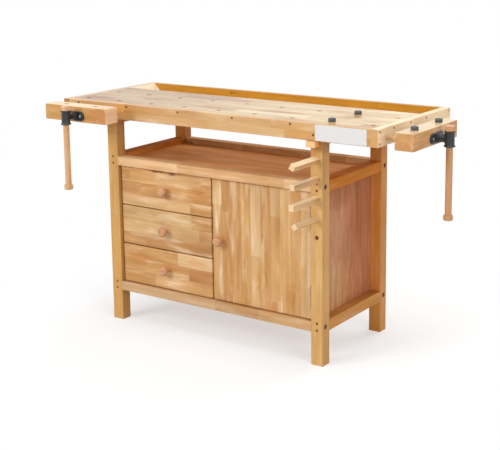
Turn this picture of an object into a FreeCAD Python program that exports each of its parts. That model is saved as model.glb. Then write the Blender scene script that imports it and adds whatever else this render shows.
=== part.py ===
import FreeCAD, Part
import os
from FreeCAD import Vector

# Joiner's workbench with a front vise, an end vise, a tool tray, an open shelf and a cabinet
# with drawers and a door.
#
# All lengths are millimetres. While the pieces are made, X runs to the right from the middle of
# the leg frame, Y runs to the back from the front faces of the legs and Z runs up from the floor.
# At the end the whole bench is moved so that its origin is the bottom centre of its own box.

# ---- Worktop -------------------------------------------------------------------------------
TOP_LENGTH = 1380.0
TOP_WIDTH = 538.0
TOP_HEIGHT = 860.0
TOP_LEFT_OVERHANG = 198.0         # beyond the leg frame
TOP_FRONT_OVERHANG = 22.0
SLAB_THICKNESS = 20.0
APRON_HEIGHT = 60.0
APRON_THICKNESS = 28.0
END_CAP_THICKNESS = 28.0
TOP_EDGE_ROUNDING = 2.0

# ---- Tool tray -----------------------------------------------------------------------------
TRAY_WIDTH = 160.0
TRAY_DEPTH = 36.0
TRAY_BACK_RAIL_THICKNESS = 21.0
TRAY_INNER_RAIL_THICKNESS = 22.0
TRAY_FLOOR_THICKNESS = 6.0
TRAY_FLOOR_HOUSING = 7.0          # how far the floor reaches into its grooves

# ---- Dog holes and dogs --------------------------------------------------------------------
DOG_HOLE_DIAMETER = 19.0
DOG_HOLE_PITCH = 157.0
DOG_END_MARGIN = 23.0             # last hole centre to the right end cap
DOG_LEFT_MARGIN = 30.0            # least distance of the first hole from the left end cap
DOG_FRONT_MARGIN = 62.0           # first row to the front edge of the worktop
DOG_ROW_SPACING = 176.0
DOG_HEAD_DIAMETER = 26.0
DOG_HEAD_HEIGHT = 12.0
DOG_HEAD_FLAT = 2.5               # depth of the flat gripping face
DOG_HEAD_CHAMFER = 1.0
DOG_SHANK_REACH = 5.0             # how far a shank shows below the slab
DOG_SHANK_CHAMFER = 1.5
DOG_PLAY = 0.2

# ---- Leg frame -----------------------------------------------------------------------------
FRAME_LENGTH = 961.0
FRAME_DEPTH = 460.0
LEG_WIDTH = 48.0                  # along X
LEG_DEPTH = 46.0                  # along Y
LEG_EDGE_ROUNDING = 2.5
BEARER_HEIGHT = 30.0
BEARER_FRONT_PROJECTION = 8.0     # in front of the worktop
BEARER_BACK_INSET = 8.0           # short of the worktop's back face
RAIL_HEIGHT = 40.0                # side and back rails
FRONT_RAIL_HEIGHT = 34.0
RAIL_THICKNESS = 40.0
RAIL_EDGE_ROUNDING = 1.5
SHELF_SPACE = 113.0               # upper rails to the leg tops
LOWER_RAIL_BOTTOM = 120.0

# ---- Cabinet -------------------------------------------------------------------------------
PANEL_THICKNESS = 6.0             # side and back panels
SHELF_THICKNESS = 8.0             # shelf panel and cabinet floor
SHELF_DROP = 22.0                 # shelf surface below the side rails' tops
FLOOR_DROP = 4.0                  # cabinet floor below the lower front rail's top
HOUSING_DEPTH = 5.0               # how far panels reach into legs and rails
DIVIDER_THICKNESS = 16.0
FRONT_RECESS = 14.0               # drawer fronts and door behind the leg fronts
FRONT_THICKNESS = 18.0
FRONT_GAP = 3.0                   # around and between the drawer fronts, and over and under the door
MEETING_GAP = 5.0                 # drawer fronts to door
FRONT_EDGE_ROUNDING = 5.0
DIVIDER_CLEARANCE = 1.0           # behind the drawer fronts and the door

# ---- Drawers -------------------------------------------------------------------------------
DRAWER_COUNT = 3
DRAWER_WALL = 12.0
DRAWER_BASE_THICKNESS = 5.0
DRAWER_BASE_INSET = 8.0           # base above the lower edge of the sides
DRAWER_BASE_HOUSING = 4.0
DRAWER_BOX_RAISE = 12.0           # box above the lower edge of the front
DRAWER_BOX_DROP = 20.0            # box below the upper edge of the front
DRAWER_SIDE_GAP = 5.0             # box to the case on each side
DRAWER_BACK_GAP = 20.0
RUNNER_HEIGHT = 14.0
RUNNER_ENGAGEMENT = 7.0           # how far a runner reaches into a drawer side
SLIDE_CLEARANCE = 0.3

# ---- Knobs, door and hinges ----------------------------------------------------------------
KNOB_DIAMETER = 38.0
KNOB_HEIGHT = 32.0
KNOB_FOOT_DIAMETER = 18.0
KNOB_NECK_DIAMETER = 14.0
KNOB_DOWEL_DIAMETER = 8.0
KNOB_DOWEL_LENGTH = 12.0
KNOB_SWELL = 0.4                  # the foot's curve stands this far outside the neck
KNOB_FOOT_SHARE = 0.16            # shares of the knob's height: middle of the foot's curve,
KNOB_NECK_SHARE = 0.34            # narrowest place,
KNOB_FLARE_SHARE = 0.47           # middle of the flare under the rim,
KNOB_RIM_SHARE = 0.7              # widest place,
KNOB_CROWN_SHARE = 0.92           # middle of the crown's curve
KNOB_FLARE_WIDTH = 0.72           # shares of the rim's radius: flare,
KNOB_CROWN_WIDTH = 0.8            # crown,
KNOB_FLAT_WIDTH = 0.3             # flat top
DOOR_KNOB_INSET = 36.0
HINGE_GAP = 6.0                   # door edge to leg
HINGE_LENGTH = 84.0
HINGE_END_MARGIN = 86.0           # hinge centre to the end of the door
HINGE_LEAF_THICKNESS = 1.5
HINGE_LEAF_WIDTH = 22.0
HINGE_BARREL_DIAMETER = 5.6
HINGE_PIN_DIAMETER = 2.6
HINGE_PIN_PLAY = 0.05
HINGE_KNUCKLES = 5
HINGE_KNUCKLE_GAP = 0.3
HINGE_BARREL_PROUD = 5.0          # pin in front of the door's face

# ---- Vises ---------------------------------------------------------------------------------
FRONT_JAW_LENGTH = 300.0
END_JAW_LENGTH = 320.0
JAW_THICKNESS = 68.0
JAW_HEIGHT = 58.0
JAW_DROP = 1.0                    # jaw top below the worktop
JAW_EDGE_ROUNDING = 2.0
FRONT_VISE_GAP = 60.0             # opening at rest
END_VISE_GAP = 65.0
FRONT_JAW_DOG_SPACING = 146.0
ROD_DIAMETER = 20.0
ROD_HEADROOM = 6.0                # guide wood above a rod
ROD_SOCKET = 20.0                 # rod in the jaw
ROD_PLAY = 0.08
ROD_TAIL_GAP = 6.0                # closed rod tail to the leg frame
GUIDE_WIDTH = 34.0
GUIDE_LENGTH = 50.0
GUIDE_HEIGHT = 38.0
GUIDE_TO_BEARER = 0.5
SCREW_DIAMETER = 18.0
SCREW_TAIL_SHORTER = 10.0         # screw tail short of the rod tails
SCREW_PLAY = 0.5                  # in wood
SCREW_FIT = 0.1                   # in the nut and the flange
COLLAR_DIAMETER = 32.0
COLLAR_WIDTH = 8.0
COLLAR_PLAY = 1.0
NUT_DIAMETER = 28.0
NUT_LENGTH = 24.0
NUT_FLANGE_DIAMETER = 38.0
NUT_FLANGE_THICKNESS = 4.0
FLANGE_LOBE_DIAMETER = 34.0
FLANGE_SCREW_SPACING = 62.0
FLANGE_SCREW_DIAMETER = 6.0
FLANGE_THICKNESS = 6.0
FLANGE_BOSS_DIAMETER = 34.0
FLANGE_BOSS_HEIGHT = 4.0
NECK_DIAMETER = 27.0
NECK_GAP = 0.3
HUB_STANDOFF = 48.0               # hub axis to the jaw's outer face
HUB_DIAMETER = 32.0
HUB_RIM_DIAMETER = 38.0
HUB_RIM_HEIGHT = 5.0
HUB_HEIGHT = 52.0
HANDLE_DIAMETER = 23.0
HANDLE_PLAY = 0.3
HANDLE_LENGTH = 315.0
HANDLE_KNOB_DIAMETER = 32.5
HANDLE_KNOB_HEIGHT = 18.0
HANDLE_KNOB_ROUNDING = 4.0
HANDLE_KNOB_CHAMFER = 1.0
HANDLE_KNOB_SOCKET = 12.0

# ---- Pegs ----------------------------------------------------------------------------------
PEG_COUNT = 4
PEG_HOLE_COUNT = 5
PEG_SIDE = 20.0
PEG_LENGTHS = (154.0, 154.0, 160.0, 141.0)     # in front of the leg, from the top peg down
PEG_CHAMFER = 1.0
PEG_ROLLS = (30.0, 2.0, 6.0, 55.0)    # each peg turned about its own axis, degrees
PEG_PITCH = 68.0
PEG_HOLE_DIAMETER = 16.0
PEG_HOLE_DEPTH = 32.0
PEG_TENON_PLAY = 0.1
PEG_TENON_SHORTER = 2.0           # tenon short of the hole's floor
PEG_WALL = 1.5                    # wood between the second peg hole and the rail screw above it

# ---- Fasteners -----------------------------------------------------------------------------
BOLT_DIAMETER = 6.0
BOLT_HEAD_DIAMETER = 16.0
BOLT_HEAD_HEIGHT = 6.0
BOLT_RECESS_DIAMETER = 19.0
BOLT_RECESS_DEPTH = 10.0
BOLT_IN_RAIL = 40.0
BARREL_NUT_DIAMETER = 10.0
BARREL_NUT_LENGTH = 28.0
BARREL_NUT_SETBACK = 32.0         # nut axis to the rail's end
FRAME_SCREW_DIAMETER = 5.0
FRAME_SCREW_HEAD_DIAMETER = 8.6
FRAME_SCREW_HEAD_HEIGHT = 3.0
FRAME_SCREW_RECESS_DIAMETER = 9.0
FRAME_SCREW_RECESS_DEPTH = 8.0
FRAME_SCREW_SPACING = 25.5
FRAME_SCREW_IN_RAIL = 30.0
TOP_SCREW_DIAMETER = 4.5
TOP_SCREW_HEAD_DIAMETER = 8.5
TOP_SCREW_HEAD_HEIGHT = 2.0
TOP_SCREW_RECESS_DEPTH = 3.0
TOP_SCREW_LENGTH = 36.0
TOP_SCREW_PITCH = 242.0
TOP_SCREW_END_MARGIN = 94.0       # last apron screw to the right end of the worktop
CAP_SCREW_SHARES = (0.25, 0.62, 0.97)     # end-cap screws, as shares of the slab's width

X_AXIS = Vector(1, 0, 0)
Y_AXIS = Vector(0, 1, 0)
Z_AXIS = Vector(0, 0, 1)
OUTWARD = -Y_AXIS                 # a vise opens this way before it is placed
PARALLEL = 0.999                  # least cosine between two directions taken as the same
SINE_45 = 0.5 ** 0.5


# ---- Helpers -------------------------------------------------------------------------------
def block(x, y, z):
    """Rectangular solid from a (low, high) pair along each axis."""
    return Part.makeBox(x[1] - x[0], y[1] - y[0], z[1] - z[0], Vector(x[0], y[0], z[0]))


def bar(start, axis, length, diameter):
    """Round solid from a point along an axis."""
    return Part.makeCylinder(diameter / 2, length, start, axis)


def edges_along(solid, axis):
    """The straight edges of a block that run along an axis."""
    return [edge for edge in solid.Edges
            if abs(edge.tangentAt(edge.FirstParameter).dot(axis)) > PARALLEL]


def eased(solid, axis, radius):
    """A block with its edges along one axis rounded."""
    return solid.makeFillet(radius, edges_along(solid, axis))


def eased_all(solid, radius):
    """A block with all its edges rounded."""
    return solid.makeFillet(radius, solid.Edges)


def turned(outline, base, axis):
    """A turned solid. The outline holds (radius, height) points from the axis back to the axis.

    A longer entry (middle radius, middle height, radius, height) is an arc to its last point.
    """
    edges = []
    here = Vector(outline[0][0], 0, outline[0][1])
    for step in outline[1:]:
        there = Vector(step[-2], 0, step[-1])
        if len(step) == 4:
            edges.append(Part.Arc(here, Vector(step[0], 0, step[1]), there).toShape())
        else:
            edges.append(Part.LineSegment(here, there).toShape())
        here = there
    edges.append(Part.LineSegment(here, Vector(outline[0][0], 0, outline[0][1])).toShape())
    solid = Part.Face(Part.Wire(edges)).revolve(Vector(), Z_AXIS, 360)
    solid.Placement = FreeCAD.Placement(base, FreeCAD.Rotation(Z_AXIS, axis))
    return solid


def cut_all(solid, tools):
    """A solid less every tool that reaches it."""
    near = [tool for tool in tools if solid.BoundBox.intersect(tool.BoundBox)]
    if not near:
        return solid
    return solid.cut(near).removeSplitter()


def fastener(face_point, axis, recess, head_diameter, head_height, diameter, length):
    """A headed fastener set below a face, its shank running along the axis from the head."""
    head = bar(face_point + axis * (recess - head_height), axis, head_height, head_diameter)
    return head.fuse(bar(face_point + axis * recess, axis, length, diameter)).removeSplitter()


def fastener_hole(face_point, axis, recess, recess_diameter, diameter, length):
    """The recess and the shank hole of a fastener."""
    mouth = bar(face_point, axis, recess, recess_diameter)
    return mouth.fuse(bar(face_point, axis, recess + length, diameter))


# ---- Main levels and faces -----------------------------------------------------------------
frame_right = FRAME_LENGTH / 2
frame_left = -frame_right
inner_right = frame_right - LEG_WIDTH
inner_left = -inner_right
leg_middle = frame_right - LEG_WIDTH / 2

top_left = frame_left - TOP_LEFT_OVERHANG
top_right = top_left + TOP_LENGTH
top_front = -TOP_FRONT_OVERHANG
top_back = top_front + TOP_WIDTH
slab_left = top_left + END_CAP_THICKNESS
slab_right = top_right - END_CAP_THICKNESS
slab_front = top_front + APRON_THICKNESS
slab_bottom = TOP_HEIGHT - SLAB_THICKNESS
tray_back = top_back - TRAY_BACK_RAIL_THICKNESS
slab_back = tray_back - TRAY_WIDTH
apron_bottom = TOP_HEIGHT - APRON_HEIGHT
tray_inner_front = slab_back - TRAY_INNER_RAIL_THICKNESS
tray_floor_top = TOP_HEIGHT - TRAY_DEPTH

leg_top = apron_bottom - BEARER_HEIGHT
back_inner = FRAME_DEPTH - RAIL_THICKNESS
leg_back_front = FRAME_DEPTH - LEG_DEPTH
upper_rail_top = leg_top - SHELF_SPACE
upper_rail_bottom = upper_rail_top - RAIL_HEIGHT
lower_rail_top = LOWER_RAIL_BOTTOM + RAIL_HEIGHT
upper_rail_middle = upper_rail_bottom + RAIL_HEIGHT / 2
lower_rail_middle = LOWER_RAIL_BOTTOM + RAIL_HEIGHT / 2
opening_bottom = LOWER_RAIL_BOTTOM + FRONT_RAIL_HEIGHT
shelf_top = upper_rail_top - SHELF_DROP
shelf_bottom = shelf_top - SHELF_THICKNESS
floor_top = opening_bottom - FLOOR_DROP
front_back_face = FRONT_RECESS + FRONT_THICKNESS
divider_left = -DIVIDER_THICKNESS / 2
divider_right = DIVIDER_THICKNESS / 2

dog_row_front = top_front + DOG_FRONT_MARGIN
dog_rows = (dog_row_front, dog_row_front + DOG_ROW_SPACING)
dog_room = slab_right - slab_left - DOG_END_MARGIN - DOG_LEFT_MARGIN
dog_columns = [slab_right - DOG_END_MARGIN - i * DOG_HOLE_PITCH
               for i in range(int(dog_room // DOG_HOLE_PITCH) + 1)]

vise_axis_z = slab_bottom - ROD_HEADROOM - ROD_DIAMETER / 2
rod_spacing = DOG_ROW_SPACING
rod_reach = top_right - frame_right - ROD_TAIL_GAP      # closed: rod tail behind the wall's face
screw_reach = rod_reach - SCREW_TAIL_SHORTER
front_vise_x = inner_left + GUIDE_TO_BEARER + GUIDE_WIDTH / 2 - rod_spacing / 2
end_vise_y = (dog_rows[0] + dog_rows[1]) / 2
jaw_top = TOP_HEIGHT - JAW_DROP - vise_axis_z           # above the vise axis

peg_holes_top = (upper_rail_middle + FRAME_SCREW_SPACING / 2 + FRAME_SCREW_RECESS_DIAMETER / 2
                 + PEG_WALL + PEG_HOLE_DIAMETER / 2 + PEG_PITCH)
peg_levels = [peg_holes_top - i * PEG_PITCH for i in range(PEG_HOLE_COUNT)]


# ---- Vise, made with its wall's outer face at Y = 0 and opening towards -Y -------------------
def at_front(shape):
    """Put a vise piece on the front apron."""
    placed = shape.copy()
    placed.translate(Vector(front_vise_x, top_front, vise_axis_z))
    return placed


def at_end(shape):
    """Put a vise piece on the right end cap."""
    placed = shape.copy()
    placed.rotate(Vector(), Z_AXIS, 90)
    placed.translate(Vector(top_right, end_vise_y, vise_axis_z))
    return placed


def screw_bore(start, length, play):
    """A bore for the vise screw along +Y."""
    return bar(Vector(0, start, 0), Y_AXIS, length, SCREW_DIAMETER + 2 * play)


def vise_jaw(length, gap, dog_spacing):
    """Wooden jaw with rod sockets, a screw hole, a collar recess and dog holes."""
    outer = -gap - JAW_THICKNESS
    jaw = eased_all(block((-length / 2, length / 2), (outer, -gap), (jaw_top - JAW_HEIGHT, jaw_top)),
                    JAW_EDGE_ROUNDING)
    cuts = [screw_bore(outer, JAW_THICKNESS, SCREW_PLAY)]
    recess = COLLAR_WIDTH + 2 * NECK_GAP
    cuts.append(bar(Vector(0, -gap - recess, 0), Y_AXIS, recess, COLLAR_DIAMETER + 2 * COLLAR_PLAY))
    for side in (-1, 1):
        cuts.append(bar(Vector(side * rod_spacing / 2, -gap - ROD_SOCKET, 0), Y_AXIS,
                        ROD_SOCKET, ROD_DIAMETER))
        cuts.append(bar(Vector(side * dog_spacing / 2, outer + JAW_THICKNESS / 2, jaw_top - JAW_HEIGHT),
                        Z_AXIS, JAW_HEIGHT, DOG_HOLE_DIAMETER))
    return cut_all(jaw, cuts)


def vise_rods(gap):
    """The two guide rods, glued into the jaw."""
    length = ROD_SOCKET + rod_reach
    return [bar(Vector(side * rod_spacing / 2, -gap - ROD_SOCKET, 0), Y_AXIS, length, ROD_DIAMETER)
            for side in (-1, 1)]


def vise_flange(gap):
    """Two-lobed cast flange with a round boss, screwed to the jaw's outer face."""
    face = Vector(0, -gap - JAW_THICKNESS, 0)
    reach = FLANGE_SCREW_SPACING / 2
    lobe = FLANGE_LOBE_DIAMETER / 2
    plate = block((-reach, reach), (face.y - FLANGE_THICKNESS, face.y), (-lobe, lobe))
    discs = [bar(face + X_AXIS * side * reach, OUTWARD, FLANGE_THICKNESS, FLANGE_LOBE_DIAMETER)
             for side in (-1, 1)]
    boss = bar(face, OUTWARD, FLANGE_THICKNESS + FLANGE_BOSS_HEIGHT, FLANGE_BOSS_DIAMETER)
    flange = plate.fuse(discs + [boss]).removeSplitter()
    bores = [bar(face + X_AXIS * side * reach, OUTWARD, FLANGE_THICKNESS, FLANGE_SCREW_DIAMETER)
             for side in (-1, 1)]
    bores.append(bar(face, OUTWARD, FLANGE_THICKNESS + FLANGE_BOSS_HEIGHT,
                     SCREW_DIAMETER + 2 * SCREW_FIT))
    return flange.cut(bores)


def vise_screw(gap):
    """Main screw with its cast T-hub, and the collar pinned on it inside the jaw."""
    hub_y = -gap - JAW_THICKNESS - HUB_STANDOFF
    neck_end = -gap - JAW_THICKNESS - FLANGE_THICKNESS - FLANGE_BOSS_HEIGHT - NECK_GAP
    tail = -gap + screw_reach
    half = HUB_HEIGHT / 2
    hub_radius = HUB_DIAMETER / 2
    rim_radius = HUB_RIM_DIAMETER / 2
    hub = turned([(0, -half), (hub_radius, -half), (rim_radius, -half + HUB_RIM_HEIGHT / 2),
                  (hub_radius, -half + HUB_RIM_HEIGHT), (hub_radius, half - HUB_RIM_HEIGHT),
                  (rim_radius, half - HUB_RIM_HEIGHT / 2), (hub_radius, half), (0, half)],
                 Vector(0, hub_y, 0), Z_AXIS)
    neck = bar(Vector(0, hub_y, 0), Y_AXIS, neck_end - hub_y, NECK_DIAMETER)
    shaft = bar(Vector(0, hub_y, 0), Y_AXIS, tail - hub_y, SCREW_DIAMETER)
    eye = bar(Vector(0, hub_y, -half), Z_AXIS, HUB_HEIGHT, HANDLE_DIAMETER + 2 * HANDLE_PLAY)
    screw = hub.fuse([neck, shaft]).cut(eye).removeSplitter()
    collar = bar(Vector(0, -gap - NECK_GAP - COLLAR_WIDTH, 0), Y_AXIS, COLLAR_WIDTH, COLLAR_DIAMETER)
    return [screw, collar.cut(shaft)]


def vise_handle(gap):
    """Sliding bar through the hub with a glued knob on each end, hanging on its top knob."""
    hub_y = -gap - JAW_THICKNESS - HUB_STANDOFF
    top = HUB_HEIGHT / 2 + HANDLE_KNOB_HEIGHT
    bottom = top - HANDLE_LENGTH
    rod_bottom = bottom + HANDLE_KNOB_HEIGHT - HANDLE_KNOB_SOCKET
    rod_top = top - HANDLE_KNOB_HEIGHT + HANDLE_KNOB_SOCKET
    rod = bar(Vector(0, hub_y, rod_bottom), Z_AXIS, rod_top - rod_bottom, HANDLE_DIAMETER)
    radius = HANDLE_KNOB_DIAMETER / 2
    curve = HANDLE_KNOB_ROUNDING
    bend = curve * (1 - SINE_45)
    chamfer = HANDLE_KNOB_CHAMFER
    outline = [(0, 0), (radius - chamfer, 0), (radius, chamfer), (radius, HANDLE_KNOB_HEIGHT - curve),
               (radius - bend, HANDLE_KNOB_HEIGHT - bend, radius - curve, HANDLE_KNOB_HEIGHT),
               (0, HANDLE_KNOB_HEIGHT)]
    upper = turned(outline, Vector(0, hub_y, HUB_HEIGHT / 2), Z_AXIS)
    lower = turned(outline, Vector(0, hub_y, bottom + HANDLE_KNOB_HEIGHT), -Z_AXIS)
    return [rod, upper.cut(rod), lower.cut(rod)]


def vise_nut(wall):
    """Flanged nut let into the inside of the wall."""
    flange = bar(Vector(0, wall, 0), OUTWARD, NUT_FLANGE_THICKNESS, NUT_FLANGE_DIAMETER)
    barrel = bar(Vector(0, wall, 0), OUTWARD, NUT_LENGTH, NUT_DIAMETER)
    return flange.fuse(barrel).cut(screw_bore(wall - NUT_LENGTH, NUT_LENGTH, SCREW_FIT))


def vise_wall_cuts(wall):
    """Holes of the rods and the screw through the wall, and the seat of the nut."""
    cuts = [bar(Vector(side * rod_spacing / 2, 0, 0), Y_AXIS, wall, ROD_DIAMETER + 2 * ROD_PLAY)
            for side in (-1, 1)]
    cuts.append(screw_bore(0, wall, SCREW_PLAY))
    cuts.append(bar(Vector(0, wall, 0), OUTWARD, NUT_FLANGE_THICKNESS, NUT_FLANGE_DIAMETER))
    cuts.append(bar(Vector(0, wall, 0), OUTWARD, NUT_LENGTH, NUT_DIAMETER))
    return cuts


def vise_guides(wall):
    """Wooden blocks under the slab that carry the rods behind the wall."""
    top = slab_bottom - vise_axis_z
    guides = []
    for side in (-1, 1):
        middle = side * rod_spacing / 2
        guide = block((middle - GUIDE_WIDTH / 2, middle + GUIDE_WIDTH / 2), (wall, wall + GUIDE_LENGTH),
                      (top - GUIDE_HEIGHT, top))
        bore = bar(Vector(middle, wall, 0), Y_AXIS, GUIDE_LENGTH, ROD_DIAMETER + 2 * ROD_PLAY)
        guides.append(guide.cut(bore))
    return guides


# ---- Turned knob, dog, peg and hinge ---------------------------------------------------------
def cabinet_knob(x, z):
    """Mushroom knob with a dowel, on a drawer front or the door."""
    foot = KNOB_FOOT_DIAMETER / 2
    neck = KNOB_NECK_DIAMETER / 2
    rim = KNOB_DIAMETER / 2
    dowel = KNOB_DOWEL_DIAMETER / 2
    tall = KNOB_HEIGHT
    outline = [(0, -KNOB_DOWEL_LENGTH), (dowel, -KNOB_DOWEL_LENGTH), (dowel, 0), (foot, 0),
               (neck + KNOB_SWELL, tall * KNOB_FOOT_SHARE, neck, tall * KNOB_NECK_SHARE),
               (rim * KNOB_FLARE_WIDTH, tall * KNOB_FLARE_SHARE, rim, tall * KNOB_RIM_SHARE),
               (rim * KNOB_CROWN_WIDTH, tall * KNOB_CROWN_SHARE, rim * KNOB_FLAT_WIDTH, tall), (0, tall)]
    return turned(outline, Vector(x, FRONT_RECESS, z), OUTWARD)


def knob_hole(x, z):
    """Dowel hole of a knob."""
    return bar(Vector(x, FRONT_RECESS, z), Y_AXIS, KNOB_DOWEL_LENGTH, KNOB_DOWEL_DIAMETER)


def bench_dog(x, y, surface, flat_direction):
    """Round dog with a flat gripping face on its head and a rounded shank end."""
    radius = DOG_HEAD_DIAMETER / 2
    shank = DOG_HOLE_DIAMETER / 2 - DOG_PLAY
    reach = SLAB_THICKNESS + DOG_SHANK_REACH
    foot = DOG_SHANK_CHAMFER
    rim = DOG_HEAD_CHAMFER
    dog = turned([(0, -reach), (shank - foot, -reach), (shank, foot - reach), (shank, 0), (radius, 0),
                  (radius, DOG_HEAD_HEIGHT - rim), (radius - rim, DOG_HEAD_HEIGHT), (0, DOG_HEAD_HEIGHT)],
                 Vector(x, y, surface), Z_AXIS)
    face = x + flat_direction * (radius - DOG_HEAD_FLAT)
    far = x + flat_direction * (radius + DOG_HEAD_FLAT)
    return dog.cut(block(sorted((face, far)), (y - radius, y + radius),
                         (surface, surface + DOG_HEAD_HEIGHT)))


def peg(level, length, roll):
    """Square peg with a round tenon, turned about its own axis."""
    half = PEG_SIDE / 2
    body = block((leg_middle - half, leg_middle + half), (-length, 0), (level - half, level + half))
    front_edges = [edge for edge in body.Edges if edge.BoundBox.YMax < -half]
    body = body.makeChamfer(PEG_CHAMFER, front_edges)
    tenon = bar(Vector(leg_middle, 0, level), Y_AXIS, PEG_HOLE_DEPTH - PEG_TENON_SHORTER,
                PEG_HOLE_DIAMETER - 2 * PEG_TENON_PLAY)
    piece = body.fuse(tenon)
    piece.rotate(Vector(leg_middle, 0, level), Y_AXIS, roll)
    return piece


def hinge(middle_z):
    """Butt hinge: (leaf on the leg, leaf on the door, pin)."""
    pin_x = inner_right - HINGE_GAP / 2
    pin_y = FRONT_RECESS - HINGE_BARREL_PROUD
    bottom = middle_z - HINGE_LENGTH / 2
    segment = HINGE_LENGTH / HINGE_KNUCKLES
    depth = (pin_y, pin_y + HINGE_LEAF_WIDTH)
    height = (bottom, bottom + HINGE_LENGTH)
    leaves = [block((inner_right - HINGE_LEAF_THICKNESS, inner_right), depth, height),
              block((inner_right - HINGE_GAP, inner_right - HINGE_GAP + HINGE_LEAF_THICKNESS),
                    depth, height)]
    for number in range(HINGE_KNUCKLES):
        low = bottom + number * segment
        owner = number % 2
        knuckle = bar(Vector(pin_x, pin_y, low + HINGE_KNUCKLE_GAP), Z_AXIS,
                      segment - 2 * HINGE_KNUCKLE_GAP, HINGE_BARREL_DIAMETER)
        room = bar(Vector(pin_x, pin_y, low), Z_AXIS, segment,
                   HINGE_BARREL_DIAMETER + 2 * HINGE_KNUCKLE_GAP)
        leaves[1 - owner] = leaves[1 - owner].cut(room)
        leaves[owner] = leaves[owner].fuse(knuckle)
    bore = bar(Vector(pin_x, pin_y, bottom), Z_AXIS, HINGE_LENGTH,
               HINGE_PIN_DIAMETER + 2 * HINGE_PIN_PLAY)
    pin = bar(Vector(pin_x, pin_y, bottom), Z_AXIS, HINGE_LENGTH, HINGE_PIN_DIAMETER)
    return leaves[0].cut(bore), leaves[1].cut(pin), pin


parts = {}

# ---- Panels: legs and rails are housed around them -------------------------------------------
panel_span = (lower_rail_top - HOUSING_DEPTH, upper_rail_bottom + HOUSING_DEPTH)
side_panel_y = (LEG_DEPTH - HOUSING_DEPTH, leg_back_front + HOUSING_DEPTH)
parts["side_panels"] = [block((inner_left - PANEL_THICKNESS, inner_left), side_panel_y, panel_span),
                        block((inner_right, inner_right + PANEL_THICKNESS), side_panel_y, panel_span)]
parts["back_panel"] = [block((inner_left - HOUSING_DEPTH, inner_right + HOUSING_DEPTH),
                             (back_inner, back_inner + PANEL_THICKNESS), panel_span)]
shelf_y = (RAIL_THICKNESS - HOUSING_DEPTH, back_inner + HOUSING_DEPTH)
parts["shelf_panel"] = [block((inner_left, inner_right), shelf_y, (shelf_bottom, shelf_top))]
parts["cabinet_floor"] = [block((inner_left, inner_right), shelf_y,
                                (floor_top - SHELF_THICKNESS, floor_top))]
panels = (parts["side_panels"] + parts["back_panel"] + parts["shelf_panel"]
          + parts["cabinet_floor"])

# ---- Fasteners of the leg frame and the holes they sit in --------------------------------------
frame_cuts = []
frame_bolts = []
frame_screws = []
rail_middles = (upper_rail_middle, lower_rail_middle)
front_rail_middle = RAIL_THICKNESS / 2
back_rail_middle = FRAME_DEPTH - RAIL_THICKNESS / 2
for side in (-1, 1):
    inward = X_AXIS * -side
    for level in rail_middles:
        for depth, nut_way in ((front_rail_middle, Y_AXIS), (back_rail_middle, -Y_AXIS)):
            face = Vector(side * frame_right, depth, level)
            shank = LEG_WIDTH - BOLT_RECESS_DEPTH + BOLT_IN_RAIL
            bolt = fastener(face, inward, BOLT_RECESS_DEPTH, BOLT_HEAD_DIAMETER, BOLT_HEAD_HEIGHT,
                            BOLT_DIAMETER, shank)
            nut_middle = Vector(side * (inner_right - BARREL_NUT_SETBACK), depth, level)
            nut_start = nut_middle - nut_way * (BARREL_NUT_LENGTH / 2)
            nut = bar(nut_start, nut_way, BARREL_NUT_LENGTH, BARREL_NUT_DIAMETER)
            frame_bolts += [bolt, nut.cut(bolt)]
            frame_cuts.append(fastener_hole(face, inward, BOLT_RECESS_DEPTH, BOLT_RECESS_DIAMETER,
                                            BOLT_DIAMETER, shank))
            frame_cuts.append(bar(nut_start, nut_way, BARREL_NUT_LENGTH / 2 + RAIL_THICKNESS / 2,
                                  BARREL_NUT_DIAMETER))
        for face_y, way in ((0, Y_AXIS), (FRAME_DEPTH, -Y_AXIS)):
            for step in (-0.5, 0.5):
                face = Vector(side * leg_middle, face_y, level + step * FRAME_SCREW_SPACING)
                shank = LEG_DEPTH - FRAME_SCREW_RECESS_DEPTH + FRAME_SCREW_IN_RAIL
                frame_screws.append(fastener(face, way, FRAME_SCREW_RECESS_DEPTH,
                                             FRAME_SCREW_HEAD_DIAMETER, FRAME_SCREW_HEAD_HEIGHT,
                                             FRAME_SCREW_DIAMETER, shank))
                frame_cuts.append(fastener_hole(face, way, FRAME_SCREW_RECESS_DEPTH,
                                                FRAME_SCREW_RECESS_DIAMETER, FRAME_SCREW_DIAMETER,
                                                shank))
parts["frame_bolts"] = frame_bolts
parts["frame_screws"] = frame_screws

# ---- Legs --------------------------------------------------------------------------------------
peg_holes = [bar(Vector(leg_middle, 0, level), Y_AXIS, PEG_HOLE_DEPTH, PEG_HOLE_DIAMETER)
             for level in peg_levels]
leg_x = {"left": (frame_left, inner_left), "right": (inner_right, frame_right)}
leg_y = {"front": (0, LEG_DEPTH), "back": (leg_back_front, FRAME_DEPTH)}
for row, y in leg_y.items():
    for side, x in leg_x.items():
        leg = eased(block(x, y, (0, leg_top)), Z_AXIS, LEG_EDGE_ROUNDING)
        leg = cut_all(leg, panels + frame_cuts)
        if (row, side) == ("front", "right"):
            leg = cut_all(leg, peg_holes)
        parts["leg_" + row + "_" + side] = [leg]

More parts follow.
